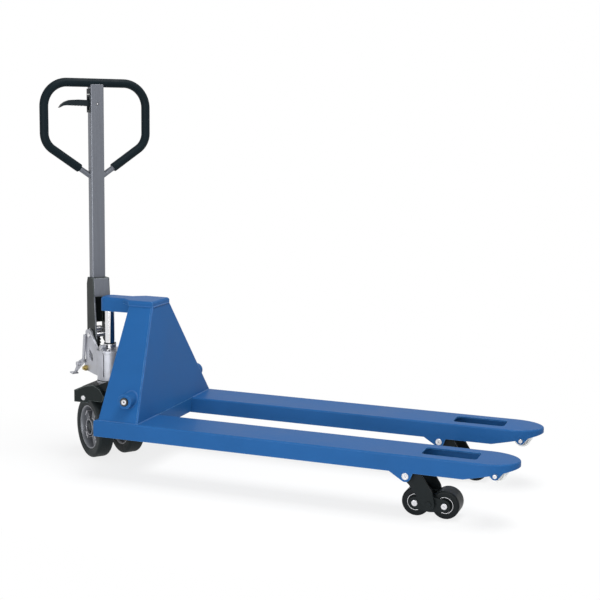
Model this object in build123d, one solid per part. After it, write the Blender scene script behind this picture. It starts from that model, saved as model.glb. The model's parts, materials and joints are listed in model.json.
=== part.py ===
from build123d import *
import os
from math import acos, asin, atan2, cos, degrees, hypot, radians, sin

# Hand pallet truck, forks raised, handle upright, steering turned to one side.
# Millimetres. +X points to the fork tips, +Y to the truck's left, +Z up.
# Pieces are drawn about the steering axis and moved by to_origin when written.
# Steered pieces are drawn straight ahead (x forward, y left) and turned by steered.

# ---- driving dimensions: forks and frame -------------------------------------
fork_length = 1150.0
over_forks = 540.0
fork_width = 145.0
fork_top = 185.0
fork_depth = 50.0
lift = 100.0
sheet = 5.0
bend = 5.0
front_face_x = 236.0
weld_groove = 2.0
weld_groove_depth = 0.5
fork_tail = 148.0
nose_length = 96.0
nose_depth = 16.0
nose_start = 1240.0
opening_rear = 1110.0
opening_front = 1270.0
opening_width = 74.0
opening_corner = 12.0

# ---- tower --------------------------------------------------------------------
tower_top = 512.0
tower_lean = 52.0
tower_top_half = 58.6
tower_tail_x = 102.0
cap_top = 528.0
cap_half = 60.5
arm_half = 34.0
arm_bottom = 483.0
arm_tail = 22.0
arm_corner = 24.0
arm_spread_start = 66.0
arm_spread_end = 100.0
cap_front_x = 185.0
cap_round = 9.0
cap_wall = 6.0

# ---- hydraulic pump -------------------------------------------------------------
rod_r = 16.0
rod_top = 500.0
piston_r = 20.0
piston_bottom = 325.0
piston_height = 12.0
pump_r = 42.0
pump_bottom = 250.0
pump_top = 352.0
neck_r = 30.0
neck_bottom = 204.0
bore_bottom = 216.0
gland_r = 21.0
gland_height = 20.0
plug_x = 16.0
plug_z = 361.0
plug_r = 6.5
base_ring_r = 43.0
base_ring_height = 7.0
base_groove = 3.0
base_groove_r = 38.0
ear_inner = 31.0
ear_thick = 8.0
block_half = 24.0
plunger_x = -103.0
plunger_r = 8.5
plunger_stroke = 29.2
plunger_block_top = 332.0
plunger_block_bottom = 264.0
retainer_r = 12.5
retainer_height = 6.0
spring_wire = 3.0
spring_r = 10.6
spring_turns = 4.5

# ---- steering ---------------------------------------------------------------------
steer_angle = -37.5
wheel_r = 100.0
wheel_width = 50.0
wheel_inner_y = 30.0
tyre_thick = 29.0
tyre_round = 9.0
rim_wall = 7.0
rim_width = 44.0
spoke_count = 5
spoke_width = 17.0
hub_r = 27.0
wheel_bearing_r = 20.0
wheel_bearing_width = 12.0
hub_recess = 14.0
axle_r = 10.0
housing_half = 25.0

# ---- cross-head ----------------------------------------------------------------------
head_bottom = 205.0
head_top = 236.0
thrust_pin_x = -44.0
thrust_pin_z = 206.0
thrust_pin_r = 7.5
thrust_arm_inner = 79.0
thrust_arm_thick = 10.0
head_ear_thick = 11.0
head_tail_x = -77.0

# ---- lifting linkage --------------------------------------------------------------------
shaft_x = 190.0
shaft_z = 250.0
shaft_r = 20.0
journal_r = 11.0
boss_r = 23.0
boss_inset = 8.0
lever_length = 88.1
lever_thick = 16.0
rod_pin_r = 7.0
push_rod_r = 10.0
eye_pin_r = 5.0
bracket_pin_x = 1076.0
bracket_pin_z = 124.0
bracket_pin_r = 10.0
bogie_x = 1140.7
bogie_z = 45.0
bogie_pin_r = 8.0
cheek_inner = 46.0
cheek_thick = 7.0

# ---- load rollers ------------------------------------------------------------------------
roller_r = 41.0
roller_width = 64.0
roller_round = 6.0
roller_pitch = 85.5
roller_core_r = 24.0
roller_axle_r = 9.0
rocker_thick = 8.0
rocker_r = 17.0
exit_roller_r = 25.0
exit_roller_width = 80.0
exit_roller_x = 1328.0
exit_roller_z = 153.0
exit_pin_r = 6.0

# ---- handle --------------------------------------------------------------------------------
handle_x = -98.0
tube_width = 47.0
tube_depth = 28.0
tube_wall = 3.0
tube_bottom = 545.0
loop_half = 176.5
loop_top = 1210.0
loop_bend_z = 1016.0
loop_join_z = 916.0
loop_top_bend = 78.0
loop_low_bend = 62.0
loop_r = 9.0
grip_r = 14.0
grip_end_y = 58.0
grip_end_z = 936.0
yoke_top = 578.0
yoke_half = 29.0
yoke_wall = 5.5
yoke_back = -120.0
tilt_x = -80.0
tilt_z = 388.0
tilt_pin_r = 8.0
tilt_range = 75.0
cam_arm = 24.0
cam_r = 12.0
cam_half = 12.0
cam_pin_r = 5.0

# ---- release -----------------------------------------------------------------------------------
lever_pin_z = 1143.0
lever_pin_r = 3.0
lever_reach = 127.0
lever_half = 7.0
lever_height = 18.0
lever_grooves = 6
pull_rod_r = 3.0
pull_rod_y = 14.0
pull_rod_bottom = 430.0
guide_bottom = 1117.0
guide_top = 1190.0
guide_width = 22.0
guide_proud = 2.5
valve_arm_x = -122.0
valve_arm_z = 296.0
valve_arm_thick = 5.0

# ---- clearances -----------------------------------------------------------------------------------
running = 0.05
gap = 0.4
side_gap = 1.0

# ---- derived places --------------------------------------------------------------------------------
fork_y = (over_forks - fork_width) / 2
fork_tip_x = front_face_x + fork_length
fork_tail_x = front_face_x - fork_tail
fork_bottom = fork_top - fork_depth
side_base = over_forks / 2 - bend
boss_end = over_forks / 2 - boss_inset
tower_height = tower_top - fork_top
lean_angle = degrees(atan2(tower_lean, tower_height))
lean_back = sheet / cos(radians(lean_angle))
slope_angle = degrees(atan2(side_base - tower_top_half, tower_height))
handle_rear = handle_x * cos(radians(steer_angle)) + loop_half * sin(radians(steer_angle)) - grip_r
to_origin = Pos(-(fork_tip_x + handle_rear) / 2, 0, 0)
steered = Rot(0, 0, steer_angle)
wheel_outer_y = wheel_inner_y + wheel_width
lever_half_swing = degrees(asin(lift / 2 / hypot(shaft_x - thrust_pin_x, lift / 2)))
lever_pin_angle = radians(lever_half_swing)
rod_rear_x = shaft_x + lever_length * sin(lever_pin_angle)
rod_rear_z = shaft_z - lever_length * cos(lever_pin_angle)
bracket_length = hypot(bogie_x - bracket_pin_x, bracket_pin_z - bogie_z)
bracket_drop = (bracket_pin_z - bogie_z) / bracket_length
bracket_swing = degrees(asin(bracket_drop) + asin(lift / bracket_length - bracket_drop))
eye_angle = radians(90 - bracket_swing / 2)
eye_length = lever_length * sin(lever_pin_angle) / cos(eye_angle)
eye_x = bracket_pin_x + eye_length * cos(eye_angle)
eye_z = bracket_pin_z + eye_length * sin(eye_angle)
eye_rise = eye_length * (1 - sin(eye_angle)) + lever_length * (1 - cos(lever_pin_angle))
rod_front_z = eye_z + eye_rise / 2
cam_angle = radians(180 - tilt_range / 2)
cam_x = tilt_x + cam_arm * cos(cam_angle)
cam_z = tilt_z + cam_arm * sin(cam_angle)
plunger_top = cam_z - cam_r - 2 * gap
rocker_inner = roller_width / 2 + side_gap
rocker_outer = rocker_inner + rocker_thick
ear_outer = ear_inner + ear_thick
grip_corners = ((-loop_half, loop_bend_z), (-loop_half, loop_top), (loop_half, loop_top), (loop_half, loop_bend_z))
loop_radii = [loop_low_bend, loop_top_bend, loop_top_bend, loop_low_bend]


# ---- shapes ---------------------------------------------------------------------------------------------
def block(x0, x1, y0, y1, z0, z1):
    return Pos((x0 + x1) / 2, (y0 + y1) / 2, (z0 + z1) / 2) * Box(x1 - x0, y1 - y0, z1 - z0)


def rod_z(x, y, r, z0, z1):
    return Pos(x, y, (z0 + z1) / 2) * Cylinder(r, z1 - z0)


def rod_y(x, z, r, y0, y1):
    return Pos(x, (y0 + y1) / 2, z) * Rot(90, 0, 0) * Cylinder(r, y1 - y0)


def rod_x(y, z, r, x0, x1):
    return Pos((x0 + x1) / 2, y, z) * Rot(0, 90, 0) * Cylinder(r, x1 - x0)


def profile(points, y0, y1):
    face = make_face(Plane.XZ * Polyline(*points, close=True))
    return Pos(0, y1, 0) * extrude(face, y1 - y0, dir=(0, -1, 0))


def plan(points, z0, z1):
    face = make_face(Polyline(*points, close=True))
    return Pos(0, 0, z0) * extrude(face, z1 - z0, dir=(0, 0, 1))


def link(ends, y0, y1):
    """Plate with round ends: ends are (x, z, radius), joined by their common tangents."""
    plate = rod_y(ends[0][0], ends[0][1], ends[0][2], y0, y1)
    for (xa, za, ra), (xb, zb, rb) in zip(ends, ends[1:]):
        along = atan2(zb - za, xb - xa)
        spread = acos((ra - rb) / hypot(xb - xa, zb - za))
        corners = []
        for (x, z, r), side in (((xa, za, ra), 1), ((xb, zb, rb), 1), ((xb, zb, rb), -1), ((xa, za, ra), -1)):
            corners.append((x + r * cos(along + side * spread), z + r * sin(along + side * spread)))
        plate += profile(corners, y0, y1) + rod_y(xb, zb, rb, y0, y1)
    return plate


def both_sides(shape):
    return shape + mirror(shape, about=Plane.XZ)


def group(shapes):
    solids = []
    for shape in shapes:
        solids += shape.solids()
    return Compound(children=solids)


def written(name, shape, turned=False):
    placed = to_origin * steered * shape if turned else to_origin * shape
    export_step(placed, f"parts/{name}.step")


# ---- forks and frame ---------------------------------------------------------------------------------------
def fork_outline(inset):
    half = fork_width / 2 - inset
    nose = nose_length - inset
    tail = fork_tail_x + inset
    nose_x = fork_tip_x - nose_length
    rear = Polyline((nose_x, half), (tail, half), (tail, -half), (nose_x, -half))
    front = EllipticalCenterArc((nose_x, 0), nose, half, start_angle=-90, arc_size=180)
    return make_face(rear + front)


def fork(side):
    body = Pos(0, 0, fork_bottom) * extrude(fork_outline(0), fork_depth)
    body = fillet(body.faces().sort_by(Axis.Z)[-1].edges(), bend)
    body -= Pos(0, 0, fork_bottom - 1) * extrude(fork_outline(sheet), fork_depth - sheet + 1)
    low = fork_bottom - 1
    rise = [(nose_start, low), (nose_start, fork_bottom), (fork_tip_x + 1, fork_top - nose_depth)]
    body -= profile(rise + [(fork_tip_x + 1, low)], -fork_width, fork_width)
    opening = RectangleRounded(opening_front - opening_rear, opening_width, opening_corner)
    opening_x = (opening_front + opening_rear) / 2
    body -= Pos(opening_x, 0, fork_top - 2 * sheet) * extrude(opening, 3 * sheet)
    lever_reach_x = lever_length * sin(lever_pin_angle) + 2 * rod_pin_r + side_gap
    slot_half = lever_thick / 2 + 4 * side_gap
    body -= block(shaft_x - lever_reach_x, shaft_x + lever_reach_x, -slot_half, slot_half,
                  fork_top - 2 * sheet, fork_top + sheet)
    wall = fork_width / 2
    groove_x = front_face_x + weld_groove_depth
    body -= block(groove_x, groove_x + weld_groove, -wall - 1, wall + 1, fork_top - weld_groove_depth, fork_top + 1)
    pin_lug_r = bracket_pin_r + 6
    lug = link([(bracket_pin_x - 50, fork_bottom + 5, 3), (bracket_pin_x, bracket_pin_z, pin_lug_r)], -wall, wall)
    lug += link([(bracket_pin_x, bracket_pin_z, pin_lug_r), (bracket_pin_x + 18, fork_bottom + 8, 6)], -wall, wall)
    lug += link([(exit_roller_x - 22, exit_roller_z + 12, 3), (exit_roller_x, exit_roller_z, 2 * exit_pin_r),
                 (exit_roller_x + 22, exit_roller_z + 14, 3)], -wall, wall)
    lug &= Pos(0, 0, low - 30) * extrude(fork_outline(0) - fork_outline(sheet), 36 + fork_depth / 2)
    body += lug
    body -= rod_y(bracket_pin_x, bracket_pin_z, bracket_pin_r, -wall - 1, wall + 1)
    body -= rod_y(exit_roller_x, exit_roller_z, exit_pin_r, -wall - 1, wall + 1)
    return Pos(0, side * fork_y, 0) * body


def front_plate():
    face = Plane(origin=(front_face_x, 0, fork_top), x_dir=(0, 1, 0),
                 z_dir=(cos(radians(lean_angle)), 0, sin(radians(lean_angle))))
    rise = (tower_height + sheet) / cos(radians(lean_angle))
    top_half = tower_top_half - sheet * (side_base - tower_top_half) / tower_height
    outline = Polyline((-side_base, 0), (side_base, 0), (top_half, rise), (-top_half, rise), close=True)
    plate = extrude(face * make_face(outline), -sheet)
    return plate & block(0, front_face_x + 1, -over_forks, over_forks, fork_top, tower_top)


def side_plate(side):
    up = Vector(0, -sin(radians(slope_angle)), cos(radians(slope_angle)))
    face = Plane(origin=(0, side_base, fork_top), x_dir=(1, 0, 0), z_dir=up.cross(Vector(1, 0, 0)))
    rise = (tower_height + sheet) / cos(radians(slope_angle))
    plate = face * make_face(Polyline((tower_tail_x, 0), (front_face_x, 0), (front_face_x, -rise),
                                      (tower_tail_x, -rise), close=True))
    plate = extrude(plate, sheet, dir=(0, -cos(radians(slope_angle)), -sin(radians(slope_angle))))
    back_face = front_face_x - lean_back
    keep = profile([(0, fork_top), (back_face, fork_top), (back_face - tower_lean, tower_top), (0, tower_top)],
                   0, over_forks)
    plate &= keep
    plate -= rod_y(shaft_x, shaft_z, boss_r, 0, over_forks)
    return plate if side > 0 else mirror(plate, about=Plane.XZ)


def shaft_boss(side):
    inner = fork_y + lever_thick / 2 + side_gap
    boss = rod_y(shaft_x, shaft_z, boss_r, inner, boss_end)
    boss = fillet(boss.faces().sort_by(Axis.Y)[-1].edges(), 3)
    boss -= rod_y(shaft_x, shaft_z, journal_r + running, inner - 1, boss_end + 1)
    boss -= rod_y(shaft_x, shaft_z, journal_r + 3, boss_end - 4, boss_end + 1)
    return boss if side > 0 else mirror(boss, about=Plane.XZ)


def cross_beam():
    half = over_forks / 2 - fork_width
    rear = front_face_x - 36
    beam = block(rear, front_face_x, -half, half, fork_bottom + 4, fork_top)
    return beam - block(rear + sheet, front_face_x - sheet, -half - 1, half + 1, fork_bottom - 1, fork_top - sheet)


def head_cap():
    arm_plan = [(-arm_tail, arm_half), (arm_spread_start, arm_half), (arm_spread_end, cap_half),
                (cap_front_x, cap_half), (cap_front_x, -cap_half), (arm_spread_end, -cap_half),
                (arm_spread_start, -arm_half), (-arm_tail, -arm_half)]
    cap = plan(arm_plan, tower_top, cap_top)
    arm_front = front_face_x - lean_back - tower_lean - gap
    arm = block(-arm_tail, arm_front, -arm_half, arm_half, arm_bottom, tower_top)
    tail_edges = arm.edges().filter_by(Axis.Z).sort_by(Axis.X)[:2]
    arm = fillet(tail_edges, arm_corner)
    cap = fillet(cap.edges().filter_by(Axis.Z).sort_by(Axis.X)[:2], arm_corner)
    cap += arm
    cap = fillet(cap.faces().sort_by(Axis.Z)[-1].edges(), cap_round)
    cap -= block(rod_r + 10, arm_front - cap_wall, -arm_half + cap_wall, arm_half - cap_wall,
                 arm_bottom - 1, cap_top - cap_wall)
    cap -= rod_z(0, 0, rod_r, arm_bottom - 1, rod_top)
    screw_z = (arm_bottom + rod_top) / 2
    cap -= rod_x(0, screw_z, 4, -arm_tail - 1, -rod_r + 2)
    return cap


def rod_lock_screw():
    screw_z = (arm_bottom + rod_top) / 2
    screw = rod_x(0, screw_z, 4, -arm_tail, -rod_r)
    head = rod_x(0, screw_z, 7, -arm_tail - 5, -arm_tail)
    return screw - rod_z(0, 0, rod_r, arm_bottom - 20, rod_top + 20) + head


def piston_rod():
    rod = rod_z(0, 0, rod_r, piston_bottom, rod_top)
    rod = fillet(rod.faces().sort_by(Axis.Z)[-1].edges(), 2)
    return rod + rod_z(0, 0, piston_r - running, piston_bottom, piston_bottom + piston_height)


def bracket_pin(side):
    reach = fork_width / 2 + 2
    pin = rod_y(bracket_pin_x, bracket_pin_z, bracket_pin_r, -reach, reach)
    pin = chamfer(pin.faces().sort_by(Axis.Y)[-1].edges() + pin.faces().sort_by(Axis.Y)[0].edges(), 1)
    return Pos(0, side * fork_y, 0) * pin


def exit_pin(side):
    reach = fork_width / 2 + 1.5
    pin = rod_y(exit_roller_x, exit_roller_z, exit_pin_r, -reach, reach)
    return Pos(0, side * fork_y, 0) * pin


def exit_roller(side):
    half = exit_roller_width / 2
    roller = rod_y(exit_roller_x, exit_roller_z, exit_roller_r, -half, half)
    roller = fillet(roller.edges(), 3)
    for end in (-half, half):
        roller -= rod_y(exit_roller_x, exit_roller_z, exit_roller_r - 6, end - 5, end + 5)
    roller += rod_y(exit_roller_x, exit_roller_z, exit_pin_r + 5, -half, half)
    roller -= rod_y(exit_roller_x, exit_roller_z, exit_pin_r + running, -half - 1, half + 1)
    return Pos(0, side * fork_y, 0) * roller


# ---- cross-head, which stands on the pump's base and doesn't steer ---------------------------------------------
def crosshead():
    hub_half = thrust_arm_inner - side_gap
    ear_inner_y = thrust_arm_inner + thrust_arm_thick + side_gap
    ear_outer_y = ear_inner_y + head_ear_thick
    hub = block(head_tail_x + 6, 46, -hub_half, hub_half, head_bottom, head_top)
    hub = fillet(hub.edges().filter_by(Axis.Z), 14)
    hub = chamfer(hub.faces().sort_by(Axis.Z)[-1].edges(), 5)
    hub += rod_z(0, 0, pump_r + 4, head_bottom, head_top)
    bridge = block(head_tail_x, thrust_pin_x - 22, -ear_outer_y, ear_outer_y, head_bottom, head_top - 6)
    ear_shape = [(head_tail_x, 191), (-29, 191), (-23, 198), (24, 198), (30, 214), (16, 238), (-8, 250),
                 (-36, 245), (-62, 234), (head_tail_x, 226)]
    ear = profile(ear_shape, ear_inner_y, ear_outer_y)
    ear = fillet(ear.edges().filter_by(Axis.Y).sort_by(Axis.Z)[-3:], 8)
    head = hub + bridge + both_sides(ear)
    head -= rod_z(0, 0, neck_r + running, head_bottom - 1, head_top + 20)
    head -= both_sides(rod_y(thrust_pin_x, thrust_pin_z, thrust_pin_r, hub_half - 6, ear_outer_y + 1))
    return head


def crosshead_pins():
    reach = thrust_arm_inner + thrust_arm_thick + side_gap + head_ear_thick + 2
    pin = rod_y(thrust_pin_x, thrust_pin_z, thrust_pin_r, thrust_arm_inner - side_gap - 6, reach)
    pin = chamfer(pin.faces().sort_by(Axis.Y)[-1].edges(), 1)
    return group([pin, mirror(pin, about=Plane.XZ)])


def thrust_ring():
    ring = rod_z(0, 0, base_ring_r - 4, head_top, pump_bottom - base_ring_height - gap)
    return ring - rod_z(0, 0, neck_r + gap, head_top - 1, pump_bottom)


# ---- lifting linkage -----------------------------------------------------------------------------------------------
def torsion_shaft():
    tube_half = fork_y - lever_thick / 2
    shaft = rod_y(shaft_x, shaft_z, shaft_r, -tube_half, tube_half)
    shaft += rod_y(shaft_x, shaft_z, journal_r, -boss_end - 3, boss_end + 3)
    for end in (-boss_end - 3, boss_end + 3):
        shaft -= rod_y(shaft_x, shaft_z, 3.5, end - 8, end + 8)
    return shaft


def thrust_arm(side):
    slot_r = thrust_pin_r + 2 * gap
    along = atan2(shaft_z - thrust_pin_z, shaft_x - thrust_pin_x)
    reach = 4.0
    slot = [(thrust_pin_x - reach * cos(along), thrust_pin_z - reach * sin(along), slot_r),
            (thrust_pin_x + reach * cos(along), thrust_pin_z + reach * sin(along), slot_r)]
    eye = [(x, z, slot_r + 3.5) for x, z, r in slot]
    path = eye + [(-12, 232, 11), (34, 250, 11), (112, 242, 13), (shaft_x, shaft_z, shaft_r + 9)]
    arm = link(path, thrust_arm_inner, thrust_arm_inner + thrust_arm_thick)
    arm -= rod_y(shaft_x, shaft_z, shaft_r, 0, 200)
    arm -= link(slot, thrust_arm_inner - 1, thrust_arm_inner + thrust_arm_thick + 1)
    return arm if side > 0 else mirror(arm, about=Plane.XZ)


def rod_lever(side):
    half = lever_thick / 2
    lever = link([(shaft_x, shaft_z, journal_r + 7), (rod_rear_x, rod_rear_z, rod_pin_r + 6)], -half, half)
    lever -= rod_y(shaft_x, shaft_z, journal_r, -half - 1, half + 1)
    lever -= rod_y(rod_rear_x, rod_rear_z, rod_pin_r, -half - 1, half + 1)
    return Pos(0, side * fork_y, 0) * lever


def rod_pin(side):
    reach = lever_thick / 2 + side_gap + 8
    return Pos(0, side * fork_y, 0) * rod_y(rod_rear_x, rod_rear_z, rod_pin_r, -reach, reach)


def push_rod(side):
    half = lever_thick / 2 + side_gap
    cheek = 6.0
    slot_r = eye_pin_r + 2 * gap
    half_slot = eye_rise / 2
    eye_end_r = slot_r + half_slot + 5
    rear_end = rod_rear_x + rod_pin_r + 24
    front_end = eye_x - rod_pin_r - 24
    run = Vector(front_end - rear_end, 0, rod_front_z - rod_rear_z)
    middle = Plane(origin=((rear_end + front_end) / 2, 0, (rod_rear_z + rod_front_z) / 2), z_dir=run)
    bar = middle * Cylinder(push_rod_r, run.length + 8)
    for x, z, end_r, throat in ((rod_rear_x, rod_rear_z, rod_pin_r + 5, 25), (eye_x, rod_front_z, eye_end_r, -31)):
        yoke = block(x + throat - 6, x + throat + 6, -half - cheek, half + cheek, z - 11, z + 11)
        for y0 in (-half - cheek, half):
            yoke += link([(x, z, end_r), (x + throat, z, 11)], y0, y0 + cheek)
        bar += yoke
    bar -= rod_y(rod_rear_x, rod_rear_z, rod_pin_r + running, -50, 50)
    slot = [(eye_x, rod_front_z - half_slot, slot_r), (eye_x, rod_front_z + half_slot, slot_r)]
    bar -= link(slot, -50, 50)
    return Pos(0, side * fork_y, 0) * bar


def wheel_bracket(side):
    outer = cheek_inner + cheek_thick
    shape = [(eye_x, eye_z, eye_pin_r + 6), (bracket_pin_x, bracket_pin_z, bracket_pin_r + 8)]
    leg = [(bracket_pin_x + 2, bracket_pin_z, bracket_pin_r + 8), (bracket_pin_x + 24, bracket_pin_z - 12, 24),
           (bogie_x - 10, bogie_z + 22, 22), (bogie_x, bogie_z, bogie_pin_r + 9)]
    cheek = link(leg, cheek_inner, outer)
    bracket = both_sides(cheek)
    bracket += link(shape, -lever_thick / 2, lever_thick / 2)
    bracket += rod_y(bracket_pin_x, bracket_pin_z, bracket_pin_r + 5, -outer, outer)
    bracket -= rod_y(bracket_pin_x, bracket_pin_z, bracket_pin_r + running, -outer - 1, outer + 1)
    bracket -= rod_y(bogie_x, bogie_z, bogie_pin_r + running, -outer - 1, outer + 1)
    bracket -= rod_y(eye_x, eye_z, eye_pin_r, -lever_thick, lever_thick)
    return Pos(0, side * fork_y, 0) * bracket


def eye_pin(side):
    reach = lever_thick / 2 + side_gap + 8
    return Pos(0, side * fork_y, 0) * rod_y(eye_x, eye_z, eye_pin_r, -reach, reach)


def bogie_pin(side):
    reach = cheek_inner + cheek_thick + 2
    pin = rod_y(bogie_x, bogie_z, bogie_pin_r, rocker_inner, reach)
    return group([Pos(0, side * fork_y, 0) * pin, Pos(0, side * fork_y, 0) * mirror(pin, about=Plane.XZ)])


def rocker(side):
    ends = [(bogie_x - roller_pitch / 2, roller_r, rocker_r), (bogie_x, bogie_z - 4, rocker_r + 5),
            (bogie_x + roller_pitch / 2, roller_r, rocker_r)]
    plates = both_sides(link(ends, rocker_inner, rocker_outer))
    for x in (bogie_x - roller_pitch / 2, bogie_x + roller_pitch / 2):
        plates -= rod_y(x, roller_r, roller_axle_r, -rocker_outer - 1, rocker_outer + 1)
    plates -= rod_y(bogie_x, bogie_z, bogie_pin_r + running, -rocker_outer - 1, rocker_outer + 1)
    return Pos(0, side * fork_y, 0) * plates


def roller_axle(side, x):
    reach = rocker_outer + 4
    axle = rod_y(x, roller_r, roller_axle_r, -reach, reach)
    axle = chamfer(axle.faces().sort_by(Axis.Y)[-1].edges() + axle.faces().sort_by(Axis.Y)[0].edges(), 1)
    return Pos(0, side * fork_y, 0) * axle


def roller_core(side, x):
    half = roller_width / 2
    core = rod_y(x, roller_r, roller_core_r, -half, half)
    for end in (-half, half):
        groove = rod_y(x, roller_r, roller_core_r - 3, end - 3, end + 3)
        groove -= rod_y(x, roller_r, roller_axle_r + 4, end - 4, end + 4)
        core -= groove
    core -= rod_y(x, roller_r, roller_axle_r + running, -half - 1, half + 1)
    return Pos(0, side * fork_y, 0) * core


def roller_tread(side, x):
    half = roller_width / 2
    tread = rod_y(x, roller_r, roller_r, -half, half)
    tread = fillet(tread.edges(), roller_round)
    tread -= rod_y(x, roller_r, roller_core_r, -half - 1, half + 1)
    return Pos(0, side * fork_y, 0) * tread


# ---- steered pieces: pump -------------------------------------------------------------------------------------------
def pump_body():
    body = rod_z(0, 0, pump_r, pump_bottom, pump_top)
    body += rod_z(0, 0, pump_r + 3, pump_top - 9, pump_top)
    body = fillet(body.faces().sort_by(Axis.Z)[-1].edges(), 2)
    body += block(plunger_x - 22, -20, -block_half, block_half, plunger_block_bottom, plunger_block_top)
    body += profile([(plunger_x - 8, plunger_block_bottom + 2), (-50, pump_bottom + 14), (-10, pump_bottom + 14),
                     (-10, 292), (plunger_x - 18, 292), (plunger_x - 18, plunger_block_bottom + 10)],
                    -ear_outer, ear_outer)
    ear = link([(tilt_x - 20, tilt_z + 4, 12), (tilt_x, tilt_z + 3, 15)], ear_inner, ear_outer)
    ear += profile([(tilt_x - 32, tilt_z + 4), (tilt_x + 8, tilt_z + 14), (-50, 378), (-18, 352), (-10, 352),
                    (-10, 280), (-100, 280), (tilt_x - 30, 300)], ear_inner, ear_outer)
    ear -= profile([(-84, 346), (-52, 326), (-52, 308), (-72, 302), (-84, 312)], ear_inner - 1, ear_outer + 1)
    body += both_sides(ear)
    body += rod_z(0, 0, neck_r, neck_bottom, pump_bottom + 1)
    body += rod_y(plug_x, plug_z, plug_r + 4, -pump_r + 1, -pump_r + 16)
    body += block(plug_x - plug_r - 4, plug_x + plug_r + 4, -pump_r + 4, -pump_r + 16, pump_top - 2, plug_z)
    body += rod_y(valve_arm_x, valve_arm_z, 4, -ear_outer - side_gap - valve_arm_thick - 3, -ear_outer + 30)
    body += rod_z(0, 0, base_ring_r, pump_bottom - base_ring_height, pump_bottom)
    body -= (rod_z(0, 0, pump_r + 1, pump_bottom, pump_bottom + base_groove)
             - rod_z(0, 0, base_groove_r, pump_bottom, pump_bottom + base_groove))
    body -= rod_z(0, 0, piston_r, bore_bottom, pump_top - 12)
    body -= rod_z(0, 0, gland_r - 4, pump_top - 13, pump_top + 1)
    body -= rod_z(plunger_x, 0, plunger_r + running, plunger_block_bottom + 12, plunger_block_top + 1)
    body -= rod_y(tilt_x, tilt_z, tilt_pin_r, -ear_outer - 1, ear_outer + 1)
    body -= rod_y(valve_arm_x + 18, valve_arm_z - 22, 6, -ear_outer - 1, -ear_outer + 16)
    body -= rod_y(plug_x, plug_z, plug_r, -pump_r, -pump_r + 12)
    return body


def rod_gland():
    gland = rod_z(0, 0, gland_r, pump_top, pump_top + gland_height)
    gland = chamfer(gland.faces().sort_by(Axis.Z)[-1].edges(), 2)
    gland += rod_z(0, 0, gland_r - 4, pump_top - 12, pump_top)
    return gland - rod_z(0, 0, rod_r + running, pump_top - 20, pump_top + gland_height + 1)


def axle_housing():
    low, high = wheel_r - 26, wheel_r + 28
    web = profile([(-34, neck_bottom), (34, neck_bottom), (38, 176), (26, high), (26, low + 10), (16, low),
                   (-16, low), (-26, low + 10), (-26, high), (-38, 176)], -housing_half, housing_half)
    web = fillet(web.edges().filter_by(Axis.Y), 5)
    return web - rod_y(0, wheel_r, axle_r, -housing_half - 1, housing_half + 1)


def steer_axle():
    reach = wheel_outer_y - 6
    return rod_y(0, wheel_r, axle_r, -reach, reach)


def axle_nuts():
    inner = wheel_outer_y - (wheel_width - rim_width) / 2 - hub_recess
    nut = Pos(0, inner, wheel_r) * Rot(-90, 0, 0) * extrude(RegularPolygon(14, 6), 8)
    nut -= rod_y(0, wheel_r, axle_r, inner - 1, inner + 9)
    return group([nut, mirror(nut, about=Plane.XZ)])


def steer_tyre(side):
    rim_r = wheel_r - tyre_thick
    tyre = rod_y(0, wheel_r, wheel_r, wheel_inner_y, wheel_outer_y)
    tyre = fillet(tyre.edges(), tyre_round)
    tyre -= rod_y(0, wheel_r, rim_r, wheel_inner_y - 1, wheel_outer_y + 1)
    return tyre if side > 0 else mirror(tyre, about=Plane.XZ)


def steer_rim(side):
    rim_r = wheel_r - tyre_thick
    start = wheel_inner_y + (wheel_width - rim_width) / 2
    end = start + rim_width
    rim = rod_y(0, wheel_r, rim_r, start, end)
    rim -= rod_y(0, wheel_r, rim_r - rim_wall, start - 1, end + 1)
    spoke = block(0, rim_r - rim_wall / 2, start + 12, end - 10, -spoke_width / 2, spoke_width / 2)
    for number in range(spoke_count):
        turn = 90 + number * 360 / spoke_count
        rim += Pos(0, 0, wheel_r) * Rot(0, -turn, 0) * spoke
    rim += rod_y(0, wheel_r, hub_r, start, end)
    seat_r = wheel_bearing_r + running
    rim -= rod_y(0, wheel_r, seat_r, start - 1, start + wheel_bearing_width + gap)
    rim -= rod_y(0, wheel_r, seat_r, end - hub_recess - wheel_bearing_width - gap, end + 1)
    rim -= rod_y(0, wheel_r, axle_r + 4, start, end)
    return rim if side > 0 else mirror(rim, about=Plane.XZ)


def wheel_bearings():
    start = wheel_inner_y + (wheel_width - rim_width) / 2
    end = start + rim_width
    races = []
    for inner in (start, end - hub_recess - wheel_bearing_width):
        race = rod_y(0, wheel_r, wheel_bearing_r, inner, inner + wheel_bearing_width)
        race -= rod_y(0, wheel_r, axle_r, inner - 1, inner + wheel_bearing_width + 1)
        races += [race, mirror(race, about=Plane.XZ)]
    return group(races)


def tilt_pin():
    pin = rod_y(tilt_x, tilt_z, tilt_pin_r, -ear_outer - 4, ear_outer + 4)
    return chamfer(pin.faces().sort_by(Axis.Y)[-1].edges() + pin.faces().sort_by(Axis.Y)[0].edges(), 1)


def plunger():
    stem = rod_z(plunger_x, 0, plunger_r, plunger_block_bottom + 12 + plunger_stroke + 1, plunger_top)
    return stem + rod_z(plunger_x, 0, retainer_r, plunger_top - retainer_height, plunger_top)


def plunger_spring():
    bottom = plunger_block_top + gap + spring_wire / 2
    top = plunger_top - retainer_height - gap - spring_wire / 2
    path = Helix((top - bottom) / spring_turns, top - bottom, spring_r)
    wire = sweep(Plane(path @ 0, z_dir=path % 0) * Circle(spring_wire / 2), path=path, is_frenet=True)
    return Pos(plunger_x, 0, bottom) * wire


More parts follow.
